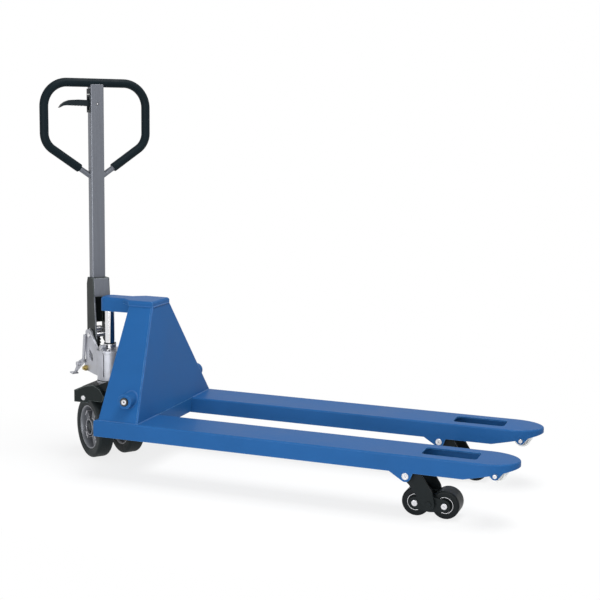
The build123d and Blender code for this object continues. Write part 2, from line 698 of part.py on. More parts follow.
def filler_plug():
    plug = rod_y(plug_x, plug_z, plug_r, -pump_r - 1, -pump_r + 12)
    return plug - Pos(plug_x, -pump_r - 1, plug_z) * Rot(90, 0, 0) * extrude(RegularPolygon(3.5, 6), 6, both=True)


def release_valve():
    x = valve_arm_x + 18
    z = valve_arm_z - 22
    valve = rod_y(x, z, 6, -ear_outer - 14, -ear_outer + 16)
    hexagon = Pos(x, -ear_outer, z) * Rot(90, 0, 0) * extrude(RegularPolygon(10, 6), 8)
    return valve + hexagon


def valve_arm():
    inner = ear_outer + side_gap
    outer = inner + valve_arm_thick
    arm = link([(tilt_x - 30, tilt_z - 8, 7), (valve_arm_x, valve_arm_z, 8), (valve_arm_x - 34, valve_arm_z - 18, 11),
                (valve_arm_x - 70, valve_arm_z - 50, 5)], -outer, -inner)
    arm += rod_y(valve_arm_x - 34, valve_arm_z - 18, 9, -outer - 8, -inner)
    arm += block(valve_arm_x - 76, valve_arm_x - 52, -outer - 16, -inner, valve_arm_z - 55, valve_arm_z - 50)
    return arm - rod_y(valve_arm_x, valve_arm_z, 4 + running, -outer - 20, -inner + 1)


# ---- steered pieces: handle --------------------------------------------------------------------------------------------
def handle_yoke():
    front_low = (-46, 362)
    front_high = (-69, yoke_top)
    side_shape = [(yoke_back, 556), (-112, yoke_top), front_high, front_low, (-54, 354), (-92, 354), (-112, 366),
                  (-122, 384), (yoke_back, 404)]
    cheek = profile(side_shape, yoke_half - yoke_wall, yoke_half)
    yoke = both_sides(cheek)
    inner = yoke_half - yoke_wall
    yoke += block(yoke_back, yoke_back + yoke_wall, -inner, inner, 424, 556)
    yoke += profile([(yoke_back, 540), (yoke_back, 556), (-112, yoke_top), front_high, (-66, 540)], -inner, inner)
    yoke += profile([(-69, yoke_top), (-62, 517), (-70, 517), (-77, yoke_top)], -inner, inner)
    half_w = tube_width / 2
    half_d = tube_depth / 2
    yoke -= block(handle_x - half_d, handle_x + half_d, -half_w, half_w, tube_bottom, yoke_top + 1)
    yoke -= block(handle_x - half_d + 4, handle_x + half_d - 4, -half_w + 4, half_w - 4, 500, tube_bottom + 1)
    yoke -= rod_y(tilt_x, tilt_z, tilt_pin_r + running, -yoke_half - 1, yoke_half + 1)
    yoke -= rod_y(cam_x, cam_z, cam_pin_r, -yoke_half - 1, yoke_half + 1)
    return yoke


def cam_pin():
    return rod_y(cam_x, cam_z, cam_pin_r, -yoke_half, yoke_half)


def cam_roller():
    roller = rod_y(cam_x, cam_z, cam_r, -cam_half, cam_half)
    return chamfer(roller.edges(), 1) - rod_y(cam_x, cam_z, cam_pin_r + running, -cam_half - 1, cam_half + 1)


def handle_tube():
    half_w = tube_width / 2
    half_d = tube_depth / 2
    outer = RectangleRounded(tube_depth, tube_width, 5)
    inner = RectangleRounded(tube_depth - 2 * tube_wall, tube_width - 2 * tube_wall, 2)
    tube = Pos(handle_x, 0, tube_bottom) * extrude(outer - inner, loop_top - 5 - tube_bottom)
    tube -= rod_y(handle_x, loop_top, grip_r, -half_w - 1, half_w + 1)
    tube -= block(handle_x - guide_width / 2, handle_x + guide_width / 2, -half_w - 1, -half_w + tube_wall,
                  guide_bottom, guide_top)
    tube -= rod_x(0, lever_pin_z, lever_pin_r, handle_x - half_d - 1, handle_x + half_d + 1)
    return tube


def loop_path(end_y, end_z):
    points = [(handle_x, -end_y, end_z)]
    points += [(handle_x, y, z) for y, z in grip_corners]
    points += [(handle_x, end_y, end_z)]
    return FilletPolyline(*points, radius=loop_radii)


def tube_along(path, outer, inner):
    ring = Circle(outer) - Circle(inner)
    return sweep(Plane(path @ 0, z_dir=path % 0) * ring, path=path)


def handle_loop():
    inside = tube_width / 2 - 4
    slope = (loop_bend_z - grip_end_z) / (loop_half - grip_end_y)
    path = loop_path(inside, grip_end_z - slope * (grip_end_y - inside))
    loop = tube_along(path, loop_r, loop_r - 2)
    keep_out = block(handle_x - tube_depth / 2, handle_x + tube_depth / 2, -tube_width / 2, tube_width / 2,
                     loop_join_z - 60, loop_join_z + 60)
    return loop - keep_out


def hand_grip():
    return tube_along(loop_path(grip_end_y, grip_end_z), grip_r, loop_r)


def lever_guide():
    half_w = tube_width / 2
    guide = block(handle_x - guide_width / 2, handle_x + guide_width / 2, -half_w, -half_w + tube_wall,
                  guide_bottom, guide_top)
    guide += block(handle_x - tube_depth / 2 + 1, handle_x + tube_depth / 2 - 1, -half_w - guide_proud, -half_w,
                   guide_bottom - 2, guide_top + 1)
    half = lever_half + gap
    return guide - block(handle_x - half, handle_x + half, -half_w - guide_proud - 1, -half_w + tube_wall + 1,
                         lever_pin_z - 20, lever_pin_z + 22)


def release_lever():
    low = lever_pin_z - 7
    high = low + lever_height
    shape = [(7, low), (7, high), (-60, high + 2), (-92, high), (-108, high - 6), (-119, high - 14),
             (-lever_reach, low - 7), (-112, low), (-100, low + 1), (-36, low - 1)]
    face = make_face(Plane.YZ * Polyline(*shape, close=True))
    lever = Pos(handle_x - lever_half, 0, 0) * extrude(face, 2 * lever_half, dir=(1, 0, 0))
    for number in range(lever_grooves):
        lever -= rod_x(-44 - 11 * number, low - 4.5, 6.2, handle_x - lever_half - 1, handle_x + lever_half + 1)
    lever -= rod_x(0, lever_pin_z, lever_pin_r + running, handle_x - 20, handle_x + 20)
    clevis = lever_half - 3
    for side in (-1, 1):
        inner = handle_x + side * clevis
        outer = handle_x + side * (lever_half + 1)
        lever -= block(min(inner, outer), max(inner, outer), -pull_rod_y - 6, -pull_rod_y + 7, low - 20, high + 20)
    return lever - rod_x(-pull_rod_y, lever_pin_z - 1, 3, handle_x - 20, handle_x + 20)


def lever_pin():
    return rod_x(0, lever_pin_z, lever_pin_r, handle_x - tube_depth / 2, handle_x + tube_depth / 2)


def pull_rod():
    rod = rod_z(handle_x, -pull_rod_y, pull_rod_r, pull_rod_bottom, lever_pin_z - 20)
    cheek = lever_half - 3 + gap
    rod += block(handle_x - cheek - 2, handle_x + cheek + 2, -pull_rod_y - 4, -pull_rod_y + 4,
                 lever_pin_z - 22, lever_pin_z - 17)
    for x0 in (handle_x - cheek - 2, handle_x + cheek):
        rod += block(x0, x0 + 2, -pull_rod_y - 4, -pull_rod_y + 4, lever_pin_z - 22, lever_pin_z + 3)
    return rod + rod_x(-pull_rod_y, lever_pin_z - 1, 2, handle_x - cheek - 2, handle_x + cheek + 2)


# ---- write every piece -------------------------------------------------------------------------------------------------
os.makedirs("parts", exist_ok=True)
sides = (("left", 1), ("right", -1))

written("front_plate", front_plate())
written("cross_beam", cross_beam())
written("head_cap", head_cap())
written("rod_lock_screw", rod_lock_screw())
written("piston_rod", piston_rod())
written("crosshead", crosshead())
written("crosshead_pins", crosshead_pins())
written("thrust_ring", thrust_ring())
written("torsion_shaft", torsion_shaft())
for name, side in sides:
    written(f"fork_{name}", fork(side))
    written(f"side_plate_{name}", side_plate(side))
    written(f"exit_roller_{name}", exit_roller(side))
    written(f"push_rod_{name}", push_rod(side))
    written(f"wheel_bracket_{name}", group([wheel_bracket(side), eye_pin(side)]))
    written(f"bogie_pin_{name}", bogie_pin(side))
    written(f"rocker_{name}", rocker(side))
    axles = []
    for place, toward in (("rear", -1), ("front", 1)):
        x = bogie_x + toward * roller_pitch / 2
        axles.append(roller_axle(side, x))
        core = roller_core(side, x)
        tread = roller_tread(side, x)
        written(f"load_roller_{name}_{place}", group([core, tread]))
    written(f"roller_axles_{name}", group(axles))
    written(f"steer_tyre_{name}", steer_tyre(side), turned=True)
    written(f"steer_rim_{name}", steer_rim(side), turned=True)
written("shaft_bosses", group([shaft_boss(1), shaft_boss(-1)]))
written("bracket_pins", group([bracket_pin(1), bracket_pin(-1)]))
written("exit_pins", group([exit_pin(1), exit_pin(-1)]))
written("thrust_arms", group([thrust_arm(1), thrust_arm(-1)]))
written("rod_levers", group([rod_lever(1), rod_lever(-1)]))
written("rod_pins", group([rod_pin(1), rod_pin(-1)]))
written("pump_body", pump_body(), turned=True)
written("rod_gland", rod_gland(), turned=True)
written("axle_housing", axle_housing(), turned=True)
written("steer_axle", steer_axle(), turned=True)
written("axle_nuts", axle_nuts(), turned=True)
written("wheel_bearings", wheel_bearings(), turned=True)
written("tilt_pin", tilt_pin(), turned=True)
written("plunger", plunger(), turned=True)
written("plunger_spring", plunger_spring(), turned=True)
written("filler_plug", filler_plug(), turned=True)
written("release_valve", release_valve(), turned=True)
written("valve_arm", valve_arm(), turned=True)
written("handle_yoke", handle_yoke(), turned=True)
written("cam_roller", cam_roller(), turned=True)
written("handle_tube", handle_tube(), turned=True)
written("handle_loop", handle_loop(), turned=True)
written("hand_grip", hand_grip(), turned=True)
written("lever_guide", lever_guide(), turned=True)
written("release_lever", release_lever(), turned=True)
written("handle_pins", group([cam_pin(), lever_pin()]), turned=True)
written("pull_rod", pull_rod(), turned=True)
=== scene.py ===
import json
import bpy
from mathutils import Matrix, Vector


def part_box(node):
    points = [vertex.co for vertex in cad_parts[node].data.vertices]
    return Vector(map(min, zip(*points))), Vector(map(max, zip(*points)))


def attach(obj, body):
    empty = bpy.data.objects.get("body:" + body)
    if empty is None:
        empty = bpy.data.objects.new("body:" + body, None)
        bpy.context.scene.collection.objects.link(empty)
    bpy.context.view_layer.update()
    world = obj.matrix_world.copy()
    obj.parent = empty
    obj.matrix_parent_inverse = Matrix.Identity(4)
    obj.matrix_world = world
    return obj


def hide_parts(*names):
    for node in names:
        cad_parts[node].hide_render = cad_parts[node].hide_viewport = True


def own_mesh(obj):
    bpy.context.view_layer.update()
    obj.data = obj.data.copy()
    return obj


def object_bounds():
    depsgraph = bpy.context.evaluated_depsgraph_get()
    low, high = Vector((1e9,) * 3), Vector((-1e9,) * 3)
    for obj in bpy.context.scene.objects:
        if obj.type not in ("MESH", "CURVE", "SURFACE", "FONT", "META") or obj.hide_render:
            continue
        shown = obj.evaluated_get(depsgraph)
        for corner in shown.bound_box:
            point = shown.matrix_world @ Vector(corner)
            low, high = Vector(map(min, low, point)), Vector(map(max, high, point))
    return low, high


bl_info = {
    "name": "Hand Pallet Truck",
    "version": (1, 0, 0),
    "blender": (4, 5, 0),
    "location": "View3D > Sidebar > Truck",
    "description": "Finishes, welds, wheels and fittings of a hand pallet truck, built on its packed frame",
    "category": "Add Mesh",
}

from math import atan2, cos, pi, radians, sin

import bpy
from mathutils import Matrix, Vector

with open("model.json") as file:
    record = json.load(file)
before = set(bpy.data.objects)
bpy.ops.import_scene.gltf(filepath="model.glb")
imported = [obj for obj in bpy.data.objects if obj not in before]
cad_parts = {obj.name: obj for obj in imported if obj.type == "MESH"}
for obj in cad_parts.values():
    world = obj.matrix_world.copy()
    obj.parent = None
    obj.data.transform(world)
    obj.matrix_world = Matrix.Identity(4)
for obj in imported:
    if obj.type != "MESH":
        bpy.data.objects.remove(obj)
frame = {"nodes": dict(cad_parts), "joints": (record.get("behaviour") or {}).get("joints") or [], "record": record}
cad_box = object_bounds()

MM = 0.001
UP = Vector((0, 0, 1))
ACROSS = Vector((0, 1, 0))
joints = {joint["name"]: joint for joint in frame["joints"]}
body_of_node = {node: body for body, nodes in frame["record"]["behaviour"]["bodies"].items()
                for node in nodes}
slot_of_node = {part["node"]: part["material_slot"] for part in frame["record"]["subparts"]}
materials = {}

DUST_COLOUR = (0.42, 0.41, 0.39, 1)
FLOOR_COLOUR = (0.93, 0.93, 0.93, 1)
SKY_COLOUR = (0.93, 0.96, 1.0, 1)

# Small fittings and turned shapes: sizes and places in millimetres. The angles of beads and screws
# are in degrees and the groove's turn is in radians. A slope is how far an edge runs and rises.
BEAD_ANGLE = 60
CAP_SET_IN = 1.9
TUBE_HALF = 23.5
LOOP_WELD_R = 10.2
LOOP_WELD_RISE = 13.5
TILT_PIN_HALF = 43.0
GROOVE_SIZE = (18.0, 3.0, 80.0)
GROOVE_TURN = radians(-54.6)
GROOVE_REACH = 40.0
GROOVE_Z = 306.0
BASE_SHADE_RING_RISE = 7.5
TYRE_HALF = 25.0
TYRE_CORNER = 9.0
RIM_HALF = 22.0
RIM_WALL = 7.0
SPOKE_FOOT = 26.0
ROLLER_BORE = 9.4
PUMP_SCREW_ANGLES = (40, 150, 215, 325)
PUMP_SCREW_REACH = 32.5
PANEL_SIZE = (1.6, 53.0, 59.0)
PANEL_PLACE = (-64.9, 0.0, 547.5)
PANEL_SLOPE = (-7.0, 61.0)
# The cheek strips are light pieces that paint a highlight along the yoke's front edges.
CHEEK_HIGHLIGHT_SIZE = (1.0, 4.6, 140.0)
CHEEK_HIGHLIGHT_SLOPE = (-23.0, 216.0)
CHEEK_HIGHLIGHT_X = -55.2
CHEEK_HIGHLIGHT_Y = 26.25
CHEEK_HIGHLIGHT_Z = 448.0
GUIDE_CLIP_SIZE = (20.0, 1.2, 3.0)
GUIDE_CLIP_SIDE = 26.2
GUIDE_CLIP_RISE = 30.0
CAMERA_TARGET = (657.5, 0.0, 558.4)


# ---- places, all taken from the frame -----------------------------------------------------------
def pivot(name):
    return Vector(joints[name]["pos_m"])


def turning_axis(name):
    return Vector(joints[name]["axis"])


def middle_of(node):
    low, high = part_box(node)
    return (low + high) / 2


steer_x = middle_of("piston_rod").x
steered_left = turning_axis("steer_wheel_left_roll")
steered_front = steered_left.cross(UP)


def fixed(x, y, z):
    """A place on the unsteered truck, in millimetres from the steering axis at the floor."""
    return Vector((steer_x + x * MM, y * MM, z * MM))


def steered(x, y, z):
    """A place on the steered unit: millimetres ahead, left and above the steering axis at the floor."""
    return Vector((steer_x, 0, 0)) + steered_front * (x * MM) + steered_left * (y * MM) + UP * (z * MM)


# ---- settings a user would change ---------------------------------------------------------------
class TruckColours(bpy.types.PropertyGroup):
    paint: bpy.props.FloatVectorProperty(
        name="Paint", description="Blue of the forks and the tower", subtype="COLOR", size=3,
        min=0, max=1, default=(0.014, 0.086, 0.250))
    casting: bpy.props.FloatVectorProperty(
        name="Casting", description="Black paint of the cross-head and the yoke", subtype="COLOR", size=3,
        min=0, max=1, default=(0.008, 0.012, 0.012))
    pump: bpy.props.FloatVectorProperty(
        name="Pump", description="Bare cast metal of the pump", subtype="COLOR", size=3,
        min=0, max=1, default=(0.40, 0.41, 0.45))
    tube: bpy.props.FloatVectorProperty(
        name="Tube", description="Zinc grey of the handle's tube", subtype="COLOR", size=3,
        min=0, max=1, default=(0.128, 0.137, 0.158))
    grip: bpy.props.FloatVectorProperty(
        name="Grip", description="Black vinyl of the grip", subtype="COLOR", size=3,
        min=0, max=1, default=(0.006, 0.011, 0.014))
    tyre: bpy.props.FloatVectorProperty(
        name="Tyre", description="Black rubber of the steering wheels", subtype="COLOR", size=3,
        min=0, max=1, default=(0.009, 0.013, 0.014))
    rim: bpy.props.FloatVectorProperty(
        name="Rim", description="Cast metal of the wheel rims", subtype="COLOR", size=3,
        min=0, max=1, default=(0.135, 0.142, 0.158))


class TruckSizes(bpy.types.PropertyGroup):
    weld: bpy.props.FloatProperty(
        name="Weld", description="Radius of the weld beads", subtype="DISTANCE", unit="LENGTH",
        min=0.0005, max=0.01, default=0.0026)
    ripple: bpy.props.FloatProperty(
        name="Weld ripple", description="Distance from one ripple of a bead to the next", subtype="DISTANCE",
        unit="LENGTH", min=0.001, max=0.02, default=0.0032)
    edge: bpy.props.FloatProperty(
        name="Edge", description="Rounding of sheet metal edges", subtype="DISTANCE", unit="LENGTH",
        min=0.0001, max=0.005, default=0.0008)
    cast_edge: bpy.props.FloatProperty(
        name="Cast edge", description="Rounding of cast edges", subtype="DISTANCE", unit="LENGTH",
        min=0.0001, max=0.01, default=0.0022)
    spokes: bpy.props.IntProperty(
        name="Spokes", description="Number of spokes in a steering wheel", min=3, max=9, default=5)


class TruckStage(bpy.types.PropertyGroup):
    azimuth: bpy.props.FloatProperty(
        name="Azimuth", description="Camera angle round the truck", subtype="ANGLE", default=radians(19.92))
    pitch: bpy.props.FloatProperty(
        name="Pitch", description="Camera angle above the horizon", subtype="ANGLE", default=radians(8.82))
    roll: bpy.props.FloatProperty(
        name="Roll", description="Camera tilt", subtype="ANGLE", default=radians(0.88))
    distance: bpy.props.FloatProperty(
        name="Distance", description="Camera distance", subtype="DISTANCE", unit="LENGTH", default=3.7789)
    lens: bpy.props.FloatProperty(
        name="Lens", description="Focal length in millimetres", default=73.99)
    key_power: bpy.props.FloatProperty(
        name="Key lamp", description="Power of the lamp beside the truck, in watts", default=74)
    top_power: bpy.props.FloatProperty(
        name="Top lamp", description="Power of the lamp over the truck, in watts", default=118)
    fill_power: bpy.props.FloatProperty(
        name="Fill lamp", description="Power of the lamp before the fork tips, in watts", default=4)
    sky: bpy.props.FloatProperty(
        name="Sky", description="Strength of the light from all around", default=0.42)
    floor_white: bpy.props.FloatProperty(
        name="Floor white", description="How much of the floor's shade is hidden by the truck",
        subtype="FACTOR", min=0, max=1, default=0.80)
    floor_reach: bpy.props.FloatProperty(
        name="Floor reach", description="How far from the truck the floor keeps its shade",
        subtype="DISTANCE", unit="LENGTH", default=1.1)


# ---- node helpers -------------------------------------------------------------------------------
def add_node(tree, kind, values=None, **settings):
    """Adds a node. A value that is a socket is joined, and any other is set on the input."""
    node = tree.nodes.new(kind)
    for name, value in settings.items():
        setattr(node, name, value)
    for name, value in (values or {}).items():
        if isinstance(value, bpy.types.NodeSocket):
            tree.links.new(value, node.inputs[name])
        else:
            node.inputs[name].default_value = value
    return node


def maths(tree, operation, first, second=0.0, clamp=False):
    node = add_node(tree, "ShaderNodeMath", {0: first, 1: second}, operation=operation, use_clamp=clamp)
    return node.outputs[0]


def blend_colours(tree, factor, first, second):
    node = add_node(tree, "ShaderNodeMix", {0: factor, 6: first, 7: second}, data_type="RGBA")
    return node.outputs[2]


def spread(tree, value, low, high, start=0.0, end=1.0):
    node = add_node(tree, "ShaderNodeMapRange",
                    {"Value": value, "From Min": start, "From Max": end, "To Min": low, "To Max": high})
    return node.outputs[0]


def new_group(name, inputs, outputs):
    group = bpy.data.node_groups.new(name, "ShaderNodeTree")
    for label, kind, default in inputs:
        made = group.interface.new_socket(name=label, in_out="INPUT", socket_type=kind)
        if default is not None:
            made.default_value = default
    for label, kind in outputs:
        group.interface.new_socket(name=label, in_out="OUTPUT", socket_type=kind)
    start = group.nodes.new("NodeGroupInput")
    end = group.nodes.new("NodeGroupOutput")
    return group, start, end


FLOAT = "NodeSocketFloat"
VECTOR = "NodeSocketVector"


def edge_group():
    """Rounded edges, and a mask of the edges, which the finishes colour both as rubbed metal and as a painted
    highlight.
    """
    group, start, end = new_group(
        "Edge wearing and highlights", (("Vector", VECTOR, None), ("Radius", FLOAT, 0.0015), ("Amount", FLOAT, 4.0),
                      ("Break-up", FLOAT, 60.0)),
        (("Mask", FLOAT), ("Normal", VECTOR)))
    rounded = add_node(group, "ShaderNodeBevel", {"Radius": start.outputs["Radius"]}, samples=4)
    surface = add_node(group, "ShaderNodeNewGeometry")
    facing = add_node(group, "ShaderNodeVectorMath", {0: rounded.outputs[0], 1: surface.outputs["Normal"]},
                      operation="DOT_PRODUCT").outputs["Value"]
    bent = maths(group, "SUBTRACT", 1.0, facing)
    strong = maths(group, "MULTIPLY", bent, start.outputs["Amount"])
    chips = add_node(group, "ShaderNodeTexNoise",
                     {"Vector": start.outputs["Vector"], "Scale": start.outputs["Break-up"], "Detail": 5.0})
    patchy = spread(group, chips.outputs["Fac"], 0.2, 1.6, 0.35, 0.65)
    broken = maths(group, "MULTIPLY", strong, patchy, clamp=True)
    group.links.new(broken, end.inputs["Mask"])
    group.links.new(rounded.outputs[0], end.inputs["Normal"])
    return group


def skin_group():
    """Fine surface texture with slow changes of tone: powder coat, cast skin, moulded grain."""
    group, start, end = new_group(
        "Surface skin", (("Vector", VECTOR, None), ("Grain", FLOAT, 500.0), ("Patches", FLOAT, 9.0),
                         ("Pits", FLOAT, 0.0)),
        (("Height", FLOAT), ("Tone", FLOAT)))
    fine = add_node(group, "ShaderNodeTexNoise",
                    {"Vector": start.outputs["Vector"], "Scale": start.outputs["Grain"], "Detail": 3.0})
    coarse = maths(group, "MULTIPLY", start.outputs["Grain"], 0.4)
    cells = add_node(group, "ShaderNodeTexVoronoi", {"Vector": start.outputs["Vector"], "Scale": coarse})
    pits = maths(group, "MULTIPLY", spread(group, cells.outputs["Distance"], -1.0, 0.0, 0.0, 0.35),
                 start.outputs["Pits"])
    height = maths(group, "ADD", fine.outputs["Fac"], pits)
    slow = add_node(group, "ShaderNodeTexNoise",
                    {"Vector": start.outputs["Vector"], "Scale": start.outputs["Patches"], "Detail": 4.0,
                     "Roughness": 0.6})
    group.links.new(height, end.inputs["Height"])
    group.links.new(spread(group, slow.outputs["Fac"], 0.0, 1.0, 0.3, 0.7), end.inputs["Tone"])
    return group


def brush_group():
    """Fine lines along one direction, as drawn tube and turned metal have."""
    group, start, end = new_group(
        "Brush lines", (("Vector", VECTOR, None), ("Stretch", VECTOR, (900.0, 900.0, 9.0))),
        (("Height", FLOAT), ("Tone", FLOAT)))
    run = add_node(group, "ShaderNodeVectorMath", {0: start.outputs["Vector"], 1: start.outputs["Stretch"]},
                   operation="MULTIPLY").outputs["Vector"]
    lines = add_node(group, "ShaderNodeTexNoise",
                     {"Vector": run, "Scale": 1.0, "Detail": 4.0, "Roughness": 0.65})
    group.links.new(lines.outputs["Fac"], end.inputs["Height"])
    group.links.new(spread(group, lines.outputs["Fac"], 0.0, 1.0, 0.3, 0.7), end.inputs["Tone"])
    return group


def dust_group():
    """Thin dust that settles on faces that look up, and fine scuffs."""
    group, start, end = new_group(
        "Dust and scuffs", (("Vector", VECTOR, None), ("Dust", FLOAT, 0.1), ("Scuffs", FLOAT, 0.1)),
        (("Dust", FLOAT), ("Scuffs", FLOAT)))
    surface = add_node(group, "ShaderNodeNewGeometry")
    level = add_node(group, "ShaderNodeSeparateXYZ", {0: surface.outputs["Normal"]}).outputs["Z"]
    cloud = add_node(group, "ShaderNodeTexNoise",
                     {"Vector": start.outputs["Vector"], "Scale": 22.0, "Detail": 6.0, "Roughness": 0.7})
    lying = maths(group, "MULTIPLY", spread(group, level, 0.0, 1.0, 0.2, 1.0),
                  spread(group, cloud.outputs["Fac"], 0.0, 1.0, 0.4, 0.7))
    group.links.new(maths(group, "MULTIPLY", lying, start.outputs["Dust"], clamp=True), end.inputs["Dust"])
    run = add_node(group, "ShaderNodeVectorMath", {0: start.outputs["Vector"], 1: (18.0, 150.0, 420.0)},
                   operation="MULTIPLY").outputs["Vector"]
    scratch = add_node(group, "ShaderNodeTexNoise", {"Vector": run, "Scale": 1.0, "Detail": 2.0})
    fine = spread(group, scratch.outputs["Fac"], 0.0, 1.0, 0.66, 0.74)
    group.links.new(maths(group, "MULTIPLY", fine, start.outputs["Scuffs"], clamp=True), end.inputs["Scuffs"])
    return group


# ---- finishes -----------------------------------------------------------------------------------
def shade(colour, factor):
    return (min(colour[0] * factor, 1), min(colour[1] * factor, 1), min(colour[2] * factor, 1), 1)


def finish(name, groups, colour, worn_and_lit, rough, metal=0.0, worn_metal=None, tones=(0.93, 1.07), grain=500.0,
           patches=9.0, pits=0.0, bump=0.06, depth=0.0002, lines=None, radius=0.0012, wear_and_highlight=3.0, dust=0.02,
           scuffs=0.05, coat=0.0, coat_rough=0.1, specular=0.5):
    """One procedural finish: its tones, its lighter edge colour (rubbed metal on some finishes, a painted
    highlight on others), dust and bump come from the shared groups.
    """
    material = bpy.data.materials.new(name)
    material.use_nodes = True
    tree = material.node_tree
    tree.nodes.clear()
    place = add_node(tree, "ShaderNodeTexCoord").outputs["Object"]
    edges = add_node(tree, "ShaderNodeGroup", node_tree=groups["edge"])
    edges.inputs["Radius"].default_value = radius
    edges.inputs["Amount"].default_value = wear_and_highlight
    tree.links.new(place, edges.inputs["Vector"])
    if lines:
        skin = add_node(tree, "ShaderNodeGroup", node_tree=groups["brush"])
        skin.inputs["Stretch"].default_value = lines
    else:
        skin = add_node(tree, "ShaderNodeGroup", node_tree=groups["skin"])
        skin.inputs["Grain"].default_value = grain
        skin.inputs["Patches"].default_value = patches
        skin.inputs["Pits"].default_value = pits
    tree.links.new(place, skin.inputs["Vector"])
    marks = add_node(tree, "ShaderNodeGroup", node_tree=groups["dust"])
    marks.inputs["Dust"].default_value = dust
    marks.inputs["Scuffs"].default_value = scuffs
    tree.links.new(place, marks.inputs["Vector"])
    tone = blend_colours(tree, skin.outputs["Tone"], shade(colour, tones[0]), shade(colour, tones[1]))
    # Edges take a lighter colour: rubbed bare metal on the pump, and a painted highlight on the blue and black
    # paints and the rims.
    rubbed_and_lit = blend_colours(tree, edges.outputs["Mask"], tone, (*worn_and_lit[:3], 1))
    scuffed = blend_colours(tree, marks.outputs["Scuffs"], rubbed_and_lit, (*worn_and_lit[:3], 1))
    surface = blend_colours(tree, marks.outputs["Dust"], scuffed, DUST_COLOUR)
    dull = spread(tree, skin.outputs["Tone"], rough[0], rough[1])
    dusty = maths(tree, "ADD", dull, maths(tree, "MULTIPLY", marks.outputs["Dust"], 0.5), clamp=True)
    bumped = add_node(tree, "ShaderNodeBump",
                      {"Height": skin.outputs["Height"], "Normal": edges.outputs["Normal"],
                       "Strength": bump, "Distance": depth})
    shader = add_node(tree, "ShaderNodeBsdfPrincipled",
                      {"Base Color": surface, "Roughness": dusty, "Normal": bumped.outputs[0],
                       "Metallic": metal, "Coat Weight": coat, "Coat Roughness": coat_rough,
                       "Specular IOR Level": specular})
    if worn_metal is not None:
        tree.links.new(spread(tree, edges.outputs["Mask"], metal, worn_metal), shader.inputs["Metallic"])
    last = add_node(tree, "ShaderNodeOutputMaterial")
    tree.links.new(shader.outputs[0], last.inputs[0])
    return material


